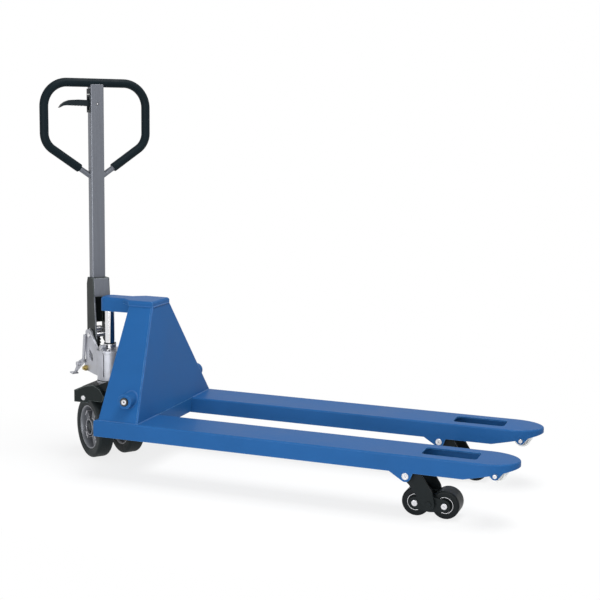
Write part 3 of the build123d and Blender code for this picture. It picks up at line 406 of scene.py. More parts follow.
class TRUCK_OT_finishes(bpy.types.Operator):
    """Makes every finish and puts it on the truck's own pieces"""
    bl_idname = "truck.finishes"
    bl_label = "Finishes"

    def execute(self, context):
        colours = context.scene.truck_colours
        groups = {"edge": edge_group(), "skin": skin_group(), "brush": brush_group(), "dust": dust_group()}
        # The lighter blue along the coat's rounded edges is a painted highlight.
        materials["fork_paint"] = finish(
            "Blue powder coat", groups, colours.paint, (0.10, 0.26, 0.52), (0.42, 0.52),
            tones=(0.93, 1.06), grain=420.0, patches=5.0, bump=0.10, depth=0.00025, radius=0.0024,
            wear_and_highlight=7.0, dust=0.006, scuffs=0.02, specular=0.06, coat=0.05)
        # A lightened copy of the blue for the weld beads: a painted highlight along them.
        materials["weld_highlight_paint"] = finish(
            "Blue powder coat with painted weld highlight", groups, shade(colours.paint, 1.12), (0.10, 0.26, 0.52),
            (0.30, 0.42), tones=(0.85, 1.15), grain=300.0, patches=40.0, bump=0.12, depth=0.0003,
            wear_and_highlight=2.0, scuffs=0.02, specular=0.2, coat=0.22, coat_rough=0.16)
        # The grey along the black paint's cast edges is a painted highlight.
        materials["black_casting"] = finish(
            "Black cast paint", groups, colours.casting, (0.15, 0.18, 0.175), (0.38, 0.52), grain=240.0,
            patches=14.0, pits=0.4, bump=0.25, depth=0.0005, radius=0.0030, wear_and_highlight=11.0, scuffs=0.03,
            specular=0.16)
        materials["pump_cast"] = finish(
            "Bare cast aluminium", groups, colours.pump, (0.78, 0.78, 0.80), (0.34, 0.50), metal=0.72,
            worn_metal=1.0, tones=(0.82, 1.12), grain=260.0, patches=26.0, pits=0.7, bump=0.35,
            depth=0.0006, radius=0.0024, wear_and_highlight=2.2, dust=0.03, scuffs=0.08)
        materials["chrome_rod"] = finish(
            "Hard chrome", groups, (0.74, 0.74, 0.76), (0.8, 0.8, 0.82), (0.05, 0.11), metal=1.0,
            lines=(30.0, 30.0, 1500.0), bump=0.02, depth=0.00005, radius=0.0008, wear_and_highlight=1.0, dust=0.0,
            scuffs=0.0)
        materials["bright_steel"] = finish(
            "Zinc plated steel", groups, (0.62, 0.62, 0.64), (0.80, 0.80, 0.80), (0.24, 0.36), metal=0.9,
            tones=(0.86, 1.1), grain=700.0, patches=60.0, bump=0.08, radius=0.0008, wear_and_highlight=2.0, scuffs=0.08)
        materials["tube_steel"] = finish(
            "Drawn zinc tube", groups, colours.tube, (0.50, 0.51, 0.54), (0.30, 0.42), metal=0.55,
            tones=(0.86, 1.14), lines=(520.0, 520.0, 3.2), bump=0.10, radius=0.0022, wear_and_highlight=1.5,
            scuffs=0.06)
        materials["grip_rubber"] = finish(
            "Grip vinyl", groups, colours.grip, (0.035, 0.05, 0.055), (0.40, 0.54), grain=620.0,
            patches=20.0, pits=0.3, bump=0.20, depth=0.0003, radius=0.002, wear_and_highlight=0.4, dust=0.002,
            scuffs=0.02, specular=0.05)
        materials["lever_plastic"] = finish(
            "Moulded lever plastic", groups, colours.grip, (0.05, 0.06, 0.065), (0.36, 0.48), grain=900.0,
            patches=30.0, bump=0.15, radius=0.0014, wear_and_highlight=0.8, dust=0.01, scuffs=0.03, specular=0.16)
        materials["tyre_rubber"] = finish(
            "Tyre rubber", groups, colours.tyre, (0.05, 0.055, 0.055), (0.48, 0.64), grain=380.0,
            patches=18.0, pits=0.5, bump=0.30, depth=0.0004, radius=0.0025, wear_and_highlight=0.7, specular=0.15)
        # The light colour along the rim's flanges, spokes and hub edges is a painted highlight.
        materials["rim_cast"] = finish(
            "Cast rim", groups, colours.rim, (0.52, 0.52, 0.55), (0.36, 0.52), metal=0.45, worn_metal=0.7,
            tones=(0.8, 1.15), grain=260.0, patches=30.0, pits=0.5, bump=0.3, depth=0.0005, radius=0.0032,
            wear_and_highlight=7.0, dust=0.04, specular=0.3)
        materials["roller_tread"] = finish(
            "Roller nylon", groups, (0.005, 0.007, 0.008), (0.04, 0.045, 0.045), (0.34, 0.50),
            grain=420.0, patches=24.0, pits=0.2, bump=0.14, depth=0.0003, radius=0.0016, wear_and_highlight=0.7,
            dust=0.01, scuffs=0.04, specular=0.12)
        materials["exit_nylon"] = finish(
            "White nylon", groups, (0.70, 0.70, 0.68), (0.55, 0.55, 0.53), (0.28, 0.42),
            tones=(0.95, 1.03), patches=20.0, bump=0.08, radius=0.0015, wear_and_highlight=0.6, dust=0.05, scuffs=0.06)
        materials["brass"] = finish(
            "Turned brass", groups, (0.47, 0.36, 0.12), (0.62, 0.50, 0.22), (0.26, 0.40), metal=0.9,
            tones=(0.8, 1.1), grain=600.0, patches=50.0, bump=0.1, radius=0.0008, wear_and_highlight=2.0, dust=0.03)
        materials["dark_bracket"] = finish(
            "Black bracket paint", groups, (0.007, 0.010, 0.011), (0.06, 0.07, 0.07), (0.38, 0.52),
            grain=360.0, patches=16.0, pits=0.2, bump=0.18, depth=0.0004, radius=0.0018, wear_and_highlight=1.0,
            dust=0.006, scuffs=0.03, specular=0.12)
        materials["spring_steel"] = finish(
            "Spring steel", groups, (0.035, 0.038, 0.038), (0.12, 0.12, 0.12), (0.34, 0.46), metal=0.3,
            grain=800.0, patches=60.0, bump=0.08, radius=0.0005, wear_and_highlight=1.0, scuffs=0.02)
        for node, piece in frame["nodes"].items():
            coat_with(piece, slot_of_node[node])
        return {"FINISHED"}


def coat_with(piece, slot):
    """Puts a finish in the piece's material slots, or adds a slot for it."""
    if piece.material_slots:
        for place in piece.material_slots:
            place.material = materials[slot]
    else:
        piece.data.materials.append(materials[slot])


# ---- modelling helpers --------------------------------------------------------------------------
def start_clean():
    active = bpy.context.view_layer.objects.active
    if active and active.mode != "OBJECT":
        bpy.ops.object.mode_set(mode="OBJECT")
    bpy.ops.object.select_all(action="DESELECT")


def select_only(piece):
    start_clean()
    piece.select_set(True)
    bpy.context.view_layer.objects.active = piece


def edit_all(piece):
    select_only(piece)
    bpy.ops.object.mode_set(mode="EDIT")
    bpy.ops.mesh.select_mode(type="VERT")
    bpy.ops.mesh.select_all(action="SELECT")


def lathe(profile, sides, fill):
    """Extrudes and resizes a circle through each (radius, height), in millimetres."""
    start_clean()
    last_radius, last_height = profile[0]
    bpy.ops.mesh.primitive_circle_add(vertices=sides, radius=last_radius * MM, fill_type=fill,
                                      location=(0, 0, 0))
    piece = bpy.context.object
    edit_all(piece)
    bpy.ops.transform.translate(value=(0, 0, last_height * MM))
    for radius, height in profile[1:]:
        rise = (0, 0, (height - last_height) * MM)
        bpy.ops.mesh.extrude_region_move(TRANSFORM_OT_translate={"value": rise})
        grow = radius / last_radius
        bpy.ops.transform.resize(value=(grow, grow, 1), center_override=(0, 0, 0))
        last_radius, last_height = radius, height
    close_up()
    return piece


def turned(profile, sides=72):
    """Turns a closed ring section about the Z axis."""
    return lathe(profile + profile[:1], sides, "NOTHING")


def capped(profile, sides=48):
    """Turns a solid from its low end to its high end."""
    return lathe(profile, sides, "NGON")


def close_up(gap=1e-6):
    """Merges doubles and points every face outwards."""
    bpy.ops.mesh.select_all(action="SELECT")
    bpy.ops.mesh.remove_doubles(threshold=gap)
    bpy.ops.mesh.normals_make_consistent(inside=False)
    bpy.ops.object.mode_set(mode="OBJECT")


def block(size, taper=None):
    """A block of the given size in millimetres about the origin. taper resizes its top face."""
    start_clean()
    bpy.ops.mesh.primitive_cube_add(size=1, location=(0, 0, 0))
    piece = bpy.context.object
    edit_all(piece)
    bpy.ops.transform.resize(value=(size[0] * MM, size[1] * MM, size[2] * MM), center_override=(0, 0, 0))
    if taper:
        pick_faces(piece, lambda face: face.normal.z > 0.9)
        bpy.ops.transform.resize(value=(taper[0], taper[1], 1), center_override=(0, 0, 0))
    bpy.ops.object.mode_set(mode="OBJECT")
    return piece


def pick_faces(piece, wanted):
    """Selects, in edit mode, the faces that the test accepts."""
    edit_all(piece)
    bpy.ops.mesh.select_mode(type="FACE")
    bpy.ops.mesh.select_all(action="DESELECT")
    bpy.ops.object.mode_set(mode="OBJECT")
    for face in piece.data.polygons:
        face.select = bool(wanted(face))
    bpy.ops.object.mode_set(mode="EDIT")


def put(piece, place, axis=UP, spin=0.0):
    """Stands the piece's Z along an axis at a place, and keeps that place in its mesh."""
    select_only(piece)
    turn = UP.rotation_difference(Vector(axis)).to_matrix().to_4x4()
    piece.matrix_world = Matrix.Translation(place) @ turn @ Matrix.Rotation(spin, 4, "Z")
    bpy.ops.object.transform_apply(location=True, rotation=True, scale=True)
    return piece


def turn_to(piece, place, front, left):
    """Sets the piece's X ahead and Y to the left of a place, and keeps that place in its mesh."""
    select_only(piece)
    basis = Matrix((front, left, front.cross(left))).transposed().to_4x4()
    piece.matrix_world = Matrix.Translation(place) @ basis
    bpy.ops.object.transform_apply(location=True, rotation=True, scale=True)
    return piece


def lean(piece, run, rise):
    """Leans an upright piece by the slope of an edge that runs ahead while it rises."""
    select_only(piece)
    piece.matrix_world = Matrix.Rotation(atan2(run, rise), 4, "Y")
    bpy.ops.object.transform_apply(location=True, rotation=True, scale=True)


def use_modifier(piece, kind, **settings):
    select_only(piece)
    modifier = piece.modifiers.new(kind.title(), kind)
    for name, value in settings.items():
        setattr(modifier, name, value)
    bpy.ops.object.modifier_apply(modifier=modifier.name)


def round_edges(piece, width, segments=2, angle=32):
    use_modifier(piece, "BEVEL", width=width, segments=segments, limit_method="ANGLE",
                 angle_limit=radians(angle), use_clamp_overlap=True)


def smooth(piece, angle=34):
    """Smooth shading that keeps large faces flat and breaks at sharp edges."""
    select_only(piece)
    bpy.ops.object.shade_smooth_by_angle(angle=radians(angle))
    use_modifier(piece, "WEIGHTED_NORMAL", keep_sharp=True, weight=80)


def joined(pieces):
    start_clean()
    for piece in pieces:
        piece.select_set(True)
    bpy.context.view_layer.objects.active = pieces[0]
    bpy.ops.object.join()
    return bpy.context.object


def copied(piece):
    twin = piece.copy()
    twin.data = piece.data.copy()
    bpy.context.scene.collection.objects.link(twin)
    return twin


def fit(piece, name, body, slot, angle=34):
    """Names a finished piece, shades it, gives it its finish and makes it ride on its body."""
    smooth(piece, angle)
    piece.name = name
    piece.data.name = name
    piece.data.materials.clear()
    piece.data.materials.append(materials[slot])
    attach(piece, body)
    return piece


def stand_in(piece, name, node, slot=None, angle=34):
    """Fits a piece that is shown in place of a frame node."""
    fit(piece, name, body_of_node[node], slot or slot_of_node[node], angle)
    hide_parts(node)


def half_of(node):
    """Half of the node's box, in millimetres."""
    low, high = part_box(node)
    return (high - low) / 2 / MM


def merged_copy(node):
    """A copy of a frame node whose loose triangles are merged into one skin."""
    piece = bpy.data.objects.new(node + "_skin", frame["nodes"][node].data.copy())
    bpy.context.scene.collection.objects.link(piece)
    edit_all(piece)
    bpy.ops.mesh.remove_doubles(threshold=1e-6)
    bpy.ops.mesh.dissolve_limited(angle_limit=radians(0.4))
    bpy.ops.object.mode_set(mode="OBJECT")
    return piece


def weld(name, start, end, body):
    """A rippled bead laid from one place to another."""
    sizes = bpy.context.scene.truck_sizes
    radius = sizes.weld / MM
    run = end - start
    count = max(int(run.length / sizes.ripple), 2)
    step = run.length / MM / count
    profile = [(radius * 0.45, 0.0)]
    for number in range(count):
        low = number * step
        profile.append((radius * (1.0 + 0.07 * sin(number * 2.1)), low + step * 0.35))
        profile.append((radius * 0.86, low + step * 0.95))
    profile.append((radius * 0.4, run.length / MM))
    bead = capped(profile, sides=10)
    put(bead, start, run)
    painted_bead(bead, name, body)


def painted_bead(bead, name, body):
    """Fits a bead of the tower. Its coat is glossier than the sheet's, and its lighter blue is a painted
    highlight.
    """
    fit(bead, name, body, "fork_paint", BEAD_ANGLE)
    coat_with(bead, "weld_highlight_paint")


def seam(name, start, end, body, radius):
    """A smooth bead that rounds a folded corner."""
    run = end - start
    bead = capped([(radius * 0.5, 0.0), (radius, radius * 0.5), (radius, run.length / MM - radius * 0.5),
                   (radius * 0.5, run.length / MM)], sides=20)
    put(bead, start, run)
    painted_bead(bead, name, body)


def weld_ring(name, place, axis, radius, body, slot="fork_paint", slant=0.0):
    """A bead round a tube or boss. slant is how fast the surface it lies on falls away with height."""
    sizes = bpy.context.scene.truck_sizes
    start_clean()
    bpy.ops.mesh.primitive_torus_add(major_radius=radius * MM, minor_radius=sizes.weld * 0.8,
                                     major_segments=72, minor_segments=10, location=(0, 0, 0))
    bead = bpy.context.object
    put(bead, place, axis)
    for point in bead.data.vertices:
        height = point.co.z - place.z
        along = atan2(height, point.co.x - place.x)
        swell = 1 + 0.012 * sin(along * 26)
        point.co.x = place.x + (point.co.x - place.x) * swell
        point.co.z = place.z + height * swell
        point.co += Vector(axis) * (-height * slant)
    fit(bead, name, body, slot, BEAD_ANGLE)
    # Blue beads get the lightened coat, a painted highlight.
    if slot == "fork_paint":
        coat_with(bead, "weld_highlight_paint")


def arc(centre_radius, centre_height, radius, start, end, count=6):
    """Points of a rounded corner of a turned section, in millimetres and degrees."""
    points = []
    for number in range(count + 1):
        angle = radians(start + (end - start) * number / count)
        points.append((centre_radius + radius * cos(angle), centre_height + radius * sin(angle)))
    return points


def pin_shape(radius, low, high):
    """A turned pin with chamfered ends and a centre drilled in each."""
    chamfer = min(1.0, radius * 0.12)
    drill = radius * 0.3
    return capped([(drill * 0.4, low + drill), (drill, low), (radius - chamfer, low), (radius, low + chamfer),
                   (radius, high - chamfer), (radius - chamfer, high), (drill, high),
                   (drill * 0.4, high - drill)])


# ---- sheet metal and castings -------------------------------------------------------------------
class TRUCK_OT_shells(bpy.types.Operator):
    """Gives the pressed and cast pieces their rounded edges"""
    bl_idname = "truck.shells"
    bl_label = "Rounded shells"

    def execute(self, context):
        sizes = context.scene.truck_sizes
        sheet = sizes.edge
        cast = sizes.cast_edge
        widths = {
            "fork_left": sheet, "fork_right": sheet, "front_plate": sheet, "side_plate_left": sheet,
            "side_plate_right": sheet, "head_cap": sheet, "cross_beam": sheet, "shaft_bosses": sheet * 3,
            "crosshead": cast, "handle_yoke": cast * 0.8, "axle_housing": cast, "valve_arm": cast * 0.5,
            "wheel_bracket_left": cast * 0.6, "wheel_bracket_right": cast * 0.6, "rocker_left": cast * 0.5,
            "rocker_right": cast * 0.5, "thrust_arms": cast * 0.5, "release_lever": cast * 0.7,
            "lever_guide": sheet * 0.6, "exit_roller_left": sheet, "exit_roller_right": sheet,
        }
        for node, width in widths.items():
            shell = merged_copy(node)
            round_edges(shell, width)
            stand_in(shell, node + "_shell", node)
        return {"FINISHED"}


class TRUCK_OT_welds(bpy.types.Operator):
    """Lays the weld beads of the tower, the forks and the handle"""
    bl_idname = "truck.welds"
    bl_label = "Weld beads"

    def execute(self, context):
        plate_low, plate_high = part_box("side_plate_left")
        front_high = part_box("front_plate")[1]
        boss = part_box("shaft_bosses")[1]
        fork_low, fork_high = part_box("fork_left")
        bead = context.scene.truck_sizes.weld
        top = plate_high.z
        deck = fork_high.z
        cap_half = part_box("head_cap")[1].y
        top_half = cap_half - CAP_SET_IN * MM
        foot = front_high.y
        back = plate_low.x
        toe = front_high.x
        set_back = (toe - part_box("head_cap")[1].x) + 1 * MM
        slope = (foot - top_half) / (top - deck)
        for side, word in ((1, "left"), (-1, "right")):
            beside = side * (top_half + bead * 0.3)
            weld("cap_weld_" + word, Vector((back + 4 * MM, beside, top - bead * 0.2)),
                 Vector((toe - set_back - 2 * MM, beside, top - bead * 0.2)), "chassis")
            weld("tower_weld_" + word, Vector((back + 2 * MM, side * (foot + bead * 0.1), deck)),
                 Vector((toe - 2 * MM, side * (foot + bead * 0.1), deck)), "chassis")
            weld("deck_weld_" + word, Vector((toe + bead * 0.2, side * (foot - 4 * MM), deck)),
                 Vector((toe + bead * 0.2, side * (fork_low.y + 2 * MM), deck)), "chassis")
            seam("corner_seam_" + word, Vector((toe - 2.2 * MM, side * (foot - 2.0 * MM), deck)),
                 Vector((toe - set_back - 1.2 * MM, side * (top_half - 2.0 * MM), top)), "chassis", 2.4)
            shaft = pivot("lift_shaft_turn")
            height = shaft.z - deck
            place = Vector((shaft.x, side * (foot - height * slope + bead * 0.2), shaft.z))
            weld_ring("boss_weld_" + word, place, ACROSS * side, (boss.z - shaft.z) / MM + 0.6,
                      "chassis", slant=slope)
        weld("front_weld", Vector((toe - set_back + bead * 0.3, -top_half + 2 * MM, top - bead * 0.2)),
             Vector((toe - set_back + bead * 0.3, top_half - 2 * MM, top - bead * 0.2)), "chassis")
        loop_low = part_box("handle_loop")[0].z
        tube = middle_of("handle_tube")
        for side, word in ((1, "left"), (-1, "right")):
            place = (Vector((tube.x, tube.y, loop_low)) + steered_left * (side * TUBE_HALF * MM)
                     + UP * (LOOP_WELD_RISE * MM))
            weld_ring("loop_weld_" + word, place, steered_left * side, LOOP_WELD_R, "handle",
                      slot="tube_steel")
        return {"FINISHED"}


# ---- wheels and rollers -------------------------------------------------------------------------
class TRUCK_OT_load_rollers(bpy.types.Operator):
    """Turns the load rollers: a tread, a hub with its bearing shields and a steel ring in each face"""
    bl_idname = "truck.load_rollers"
    bl_label = "Load rollers"

    def execute(self, context):
        span = half_of("load_roller_left_front")
        radius, half = span.z, span.y
        seat = radius * 0.585
        corner = radius * 0.15
        tread = turned([(seat, -half + 1), (seat, half - 1), (seat + 1.2, half), (radius - corner, half)]
                       + arc(radius - corner, half - corner, corner, 90, 0)[1:]
                       + arc(radius - corner, corner - half, corner, 0, -90) + [(seat + 1.2, -half)])
        bore = ROLLER_BORE
        face = [(bore, half - 0.4), (bore + 3.2, half - 0.4), (bore + 3.8, half - 1.2),
                (bore + 4.4, half - 3.2), (seat - 3.4, half - 3.2), (seat - 3.0, half - 0.6),
                (seat, half - 0.6)]
        hub = turned(face + [(r, -h) for r, h in reversed(face)])
        master = joined([tread, hub])
        rings = []
        for side in (-1, 1):
            level = side * (half - 0.6)
            crest = level + side * 0.7
            rings.append(turned([(seat - 1.9, level), (seat - 1.6, crest), (seat - 0.3, crest),
                                 (seat, level)]))
        ring = joined(rings)
        for side in ("left", "right"):
            for place in ("rear", "front"):
                body = f"load_roller_{side}_{place}"
                centre = pivot(body + "_roll")
                stand_in(put(copied(master), centre, ACROSS), body + "_tread", body, "roller_tread")
                fit(put(copied(ring), centre, ACROSS), body + "_ring", body, "bright_steel")
        bpy.data.objects.remove(master)
        bpy.data.objects.remove(ring)
        return {"FINISHED"}


class TRUCK_OT_steering_wheels(bpy.types.Operator):
    """Turns the tyres and builds the spoked cast rims"""
    bl_idname = "truck.steering_wheels"
    bl_label = "Steering wheels"

    def execute(self, context):
        radius = half_of("steer_tyre_left").z
        seat = half_of("steer_rim_left").z
        half = TYRE_HALF
        corner = TYRE_CORNER
        wall = [(seat, half - 3.0), (seat + 1.0, half - 1.6), (seat + 6.0, half - 1.4),
                (seat + 6.6, half - 0.6), (seat + 8.6, half - 0.4), (radius - corner, half)]
        crown = arc(radius - corner, half - corner, corner, 90, 0, 7)[1:]
        below = [(r, -h) for r, h in reversed(wall + crown)]
        tyre = turned(wall + crown + below, sides=128)
        spokes = context.scene.truck_sizes.spokes
        rim_half = RIM_HALF
        inner = seat - RIM_WALL
        band = turned([(seat, -rim_half), (seat, rim_half), (seat - 2.4, rim_half),
                       (seat - 4.6, rim_half - 2.2), (inner, rim_half - 7.0), (inner - 2.2, 2.0),
                       (inner - 2.2, -2.0), (inner, 7.0 - rim_half), (seat - 4.6, 2.2 - rim_half),
                       (seat - 2.4, -rim_half)], sides=128)
        hub = turned([(23.4, -rim_half), (23.4, rim_half - 1.0), (24.0, rim_half), (25.8, rim_half),
                      (26.8, rim_half - 1.4), (27.8, 6.0), (27.8, -6.0), (26.8, 1.4 - rim_half),
                      (25.8, -rim_half)])
        shell = turned([(14.4, -6.0), (14.4, -4.0), (23.5, -4.0), (23.5, -6.0)])
        parts = [band, hub, shell]
        length = inner - SPOKE_FOOT
        for number in range(spokes):
            spoke = block((17.5, 25.0, length + 4.0), taper=(1.25, 0.82))
            pick_faces(spoke, lambda face: abs(face.normal.y) > 0.9)
            bpy.ops.mesh.inset(thickness=3.4 * MM, depth=-1.8 * MM)
            bpy.ops.object.mode_set(mode="OBJECT")
            round_edges(spoke, 1.1 * MM)
            angle = 2 * pi * number / spokes
            select_only(spoke)
            reach = (SPOKE_FOOT + length / 2) * MM
            spoke.matrix_world = (Matrix.Rotation(angle, 4, "Z") @ Matrix.Translation((0, reach, 0))
                                  @ Matrix.Rotation(-pi / 2, 4, "X"))
            bpy.ops.object.transform_apply(location=True, rotation=True, scale=True)
            parts.append(spoke)
        rim = joined(parts)
        cap = capped([(18.0, 8.0), (23.3, 8.0), (23.3, 13.0), (22.0, 14.2), (19.0, 14.4), (17.8, 13.6),
                      (15.6, 13.6), (14.6, 14.8), (13.6, 18.0), (11.6, 19.2), (5.0, 19.6)], sides=64)
        for side, sign in (("left", 1), ("right", -1)):
            body = "steer_wheel_" + side
            centre = pivot(body + "_roll")
            outwards = steered_left * sign
            rubber = put(copied(tyre), centre, outwards)
            stand_in(rubber, body + "_rubber", "steer_tyre_" + side, "tyre_rubber")
            casting = put(copied(rim), centre, outwards, spin=pi / 2)
            stand_in(casting, body + "_casting", "steer_rim_" + side, "rim_cast")
            fit(put(copied(cap), centre, outwards), body + "_hub_cap", body, "lever_plastic")
        for spare in (tyre, rim, cap):
            bpy.data.objects.remove(spare)
        return {"FINISHED"}


# ---- pins and fasteners -------------------------------------------------------------------------
class TRUCK_OT_pins(bpy.types.Operator):
    """Turns the pins with their chamfers and centre drillings"""
    bl_idname = "truck.pins"
    bl_label = "Pins and axles"

    def across(self, name, node, places, half, radius, axis=ACROSS):
        pins = [put(pin_shape(radius, -half, half), place, axis) for place in places]
        piece = joined(pins) if len(pins) > 1 else pins[0]
        stand_in(piece, name, node, "bright_steel")

    def execute(self, context):
        forks = [middle_of("fork_" + side).y for side in ("left", "right")]
        for word, joint in (("bracket", "wheel_bracket_left_swing"), ("exit", "exit_roller_left_roll")):
            node = word + "_pins"
            places = [Vector((pivot(joint).x, fork, pivot(joint).z)) for fork in forks]
            reach = (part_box(node)[1].y - forks[0]) / MM
            self.across(word + "_pin_heads", node, places, reach, half_of(node).x)
        for side in ("left", "right"):
            node = "roller_axles_" + side
            places = [pivot(f"load_roller_{side}_{end}_roll") for end in ("rear", "front")]
            self.across("roller_pins_" + side, node, places, half_of(node).y, half_of(node).z)
        self.across("tilt_pin_turned", "tilt_pin", [pivot("handle_tilt")], TILT_PIN_HALF,
                    half_of("tilt_pin").z, steered_left)
        shaft = pivot("lift_shaft_turn")
        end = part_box("torsion_shaft")[1].y
        for side, word in ((1, "left"), (-1, "right")):
            face = put(turned([(2.6, -1.0), (2.6, 0.5), (3.3, 0.9), (7.6, 0.9), (8.3, 0.2), (8.3, -1.0)]),
                       Vector((shaft.x, side * end, shaft.z)), ACROSS * side)
            fit(face, "shaft_end_" + word, "lift_shaft", "bright_steel")
            clip = put(turned([(8.4, -1.0), (8.4, 0.1), (9.0, 0.5), (11.6, 0.5), (12.6, -0.6), (12.6, -2.6),
                               (11.0, -2.6), (11.0, -1.0)]),
                       Vector((shaft.x, side * end, shaft.z)), ACROSS * side)
            fit(clip, "shaft_clip_" + word, "lift_shaft", "spring_steel")
        return {"FINISHED"}


# ---- pump ---------------------------------------------------------------------------------------
class TRUCK_OT_pump(bpy.types.Operator):
    """Shapes the cast pump body and adds its screws, rod wiper, oil groove and a dark ring of painted shade at its
    foot
    """
    bl_idname = "truck.pump"
    bl_label = "Pump"

    def execute(self, context):
        shell = merged_copy("pump_body")
        outwards = steered_front * cos(GROOVE_TURN) + steered_left * sin(GROOVE_TURN)
        place = steered(GROOVE_REACH * cos(GROOVE_TURN), GROOVE_REACH * sin(GROOVE_TURN), GROOVE_Z)
        cutter = turn_to(block(GROOVE_SIZE), place, outwards, UP.cross(outwards))
        use_modifier(shell, "BOOLEAN", object=cutter, operation="DIFFERENCE", solver="EXACT")
        bpy.data.objects.remove(cutter)
        round_edges(shell, context.scene.truck_sizes.cast_edge * 0.5)
        stand_in(shell, "pump_casting", "pump_body", "pump_cast")
        # A dark ring in the groove at the pump's foot is painted shade: it stands for the shaded gap there.
        dark_ring = put(turned([(37.0, 0.0), (37.0, 2.6), (41.8, 2.6), (42.3, 1.3), (41.8, 0.0)]),
                   steered(0, 0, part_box("thrust_ring")[1].z / MM + BASE_SHADE_RING_RISE))
        fit(dark_ring, "pump_base_shade_ring", "steer_unit", "grip_rubber")
        gland_low, gland_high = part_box("rod_gland")
        dark_ring = put(turned([(16.3, 0), (16.3, 2.2), (17.4, 3.0), (19.4, 2.4), (20.0, 0)]),
                   steered(0, 0, gland_high.z / MM - 0.4))
        fit(dark_ring, "rod_wiper", "steer_unit", "grip_rubber")
        screw_top = gland_low.z / MM + 12
        for number, angle in enumerate(PUMP_SCREW_ANGLES):
            turn = radians(angle)
            screw = capped([(2.2, 2.6), (2.6, 5.6), (4.6, 5.6), (5.2, 5.0), (5.2, 0.0), (4.0, -0.4)],
                           sides=24)
            put(screw, steered(PUMP_SCREW_REACH * cos(turn), PUMP_SCREW_REACH * sin(turn), screw_top))
            fit(screw, f"pump_screw_{number}", "steer_unit", "bright_steel")
        coat_with(frame["nodes"]["plunger"], "spring_steel")
        spring = merged_copy("plunger_spring")
        stand_in(spring, "plunger_spring_coil", "plunger_spring")
        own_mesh(spring)
        return {"FINISHED"}


# ---- handle -------------------------------------------------------------------------------------
class TRUCK_OT_handle(bpy.types.Operator):
    """Shapes the grip, the tube and the yoke's front panel"""
    bl_idname = "truck.handle"
    bl_label = "Handle"

    def execute(self, context):
        grip = merged_copy("hand_grip")
        round_edges(grip, 3.6 * MM, segments=4, angle=50)
        stand_in(grip, "grip_sleeve", "hand_grip", "grip_rubber", 50)
        stand_in(merged_copy("handle_tube"), "handle_tube_drawn", "handle_tube", "tube_steel", 30)
        stand_in(merged_copy("handle_loop"), "handle_loop_bent", "handle_loop", "tube_steel", 50)
        panel = block(PANEL_SIZE)
        round_edges(panel, 0.6 * MM)
        lean(panel, *PANEL_SLOPE)
        turn_to(panel, steered(*PANEL_PLACE), steered_front, steered_left)
        fit(panel, "yoke_front_panel", "handle", "tube_steel")
        # Thin light strips along the cheeks' front edges are a painted highlight on the yoke's rounded edges.
        for side, word in ((1, "left"), (-1, "right")):
            edge = block(CHEEK_HIGHLIGHT_SIZE)
            round_edges(edge, 0.4 * MM)
            lean(edge, *CHEEK_HIGHLIGHT_SLOPE)
            place = steered(CHEEK_HIGHLIGHT_X, side * CHEEK_HIGHLIGHT_Y, CHEEK_HIGHLIGHT_Z)
            turn_to(edge, place, steered_front, steered_left)
            fit(edge, "yoke_highlight_strip_" + word, "handle", "tube_steel")
        ring = put(turned([(3.1, -0.6), (3.1, 0.4), (4.4, 0.4), (4.8, -0.6)], sides=32),
                   pivot("lever_squeeze") + steered_front * (14.2 * MM), steered_front)
        fit(ring, "lever_pin_ring", "handle", "lever_plastic")
        band = block(GUIDE_CLIP_SIZE)
        round_edges(band, 0.4 * MM)
        beside = pivot("lever_squeeze") - steered_left * (GUIDE_CLIP_SIDE * MM) + UP * (GUIDE_CLIP_RISE * MM)
        turn_to(band, beside, steered_front, steered_left)
        fit(band, "guide_clip", "handle", "exit_nylon")
        return {"FINISHED"}


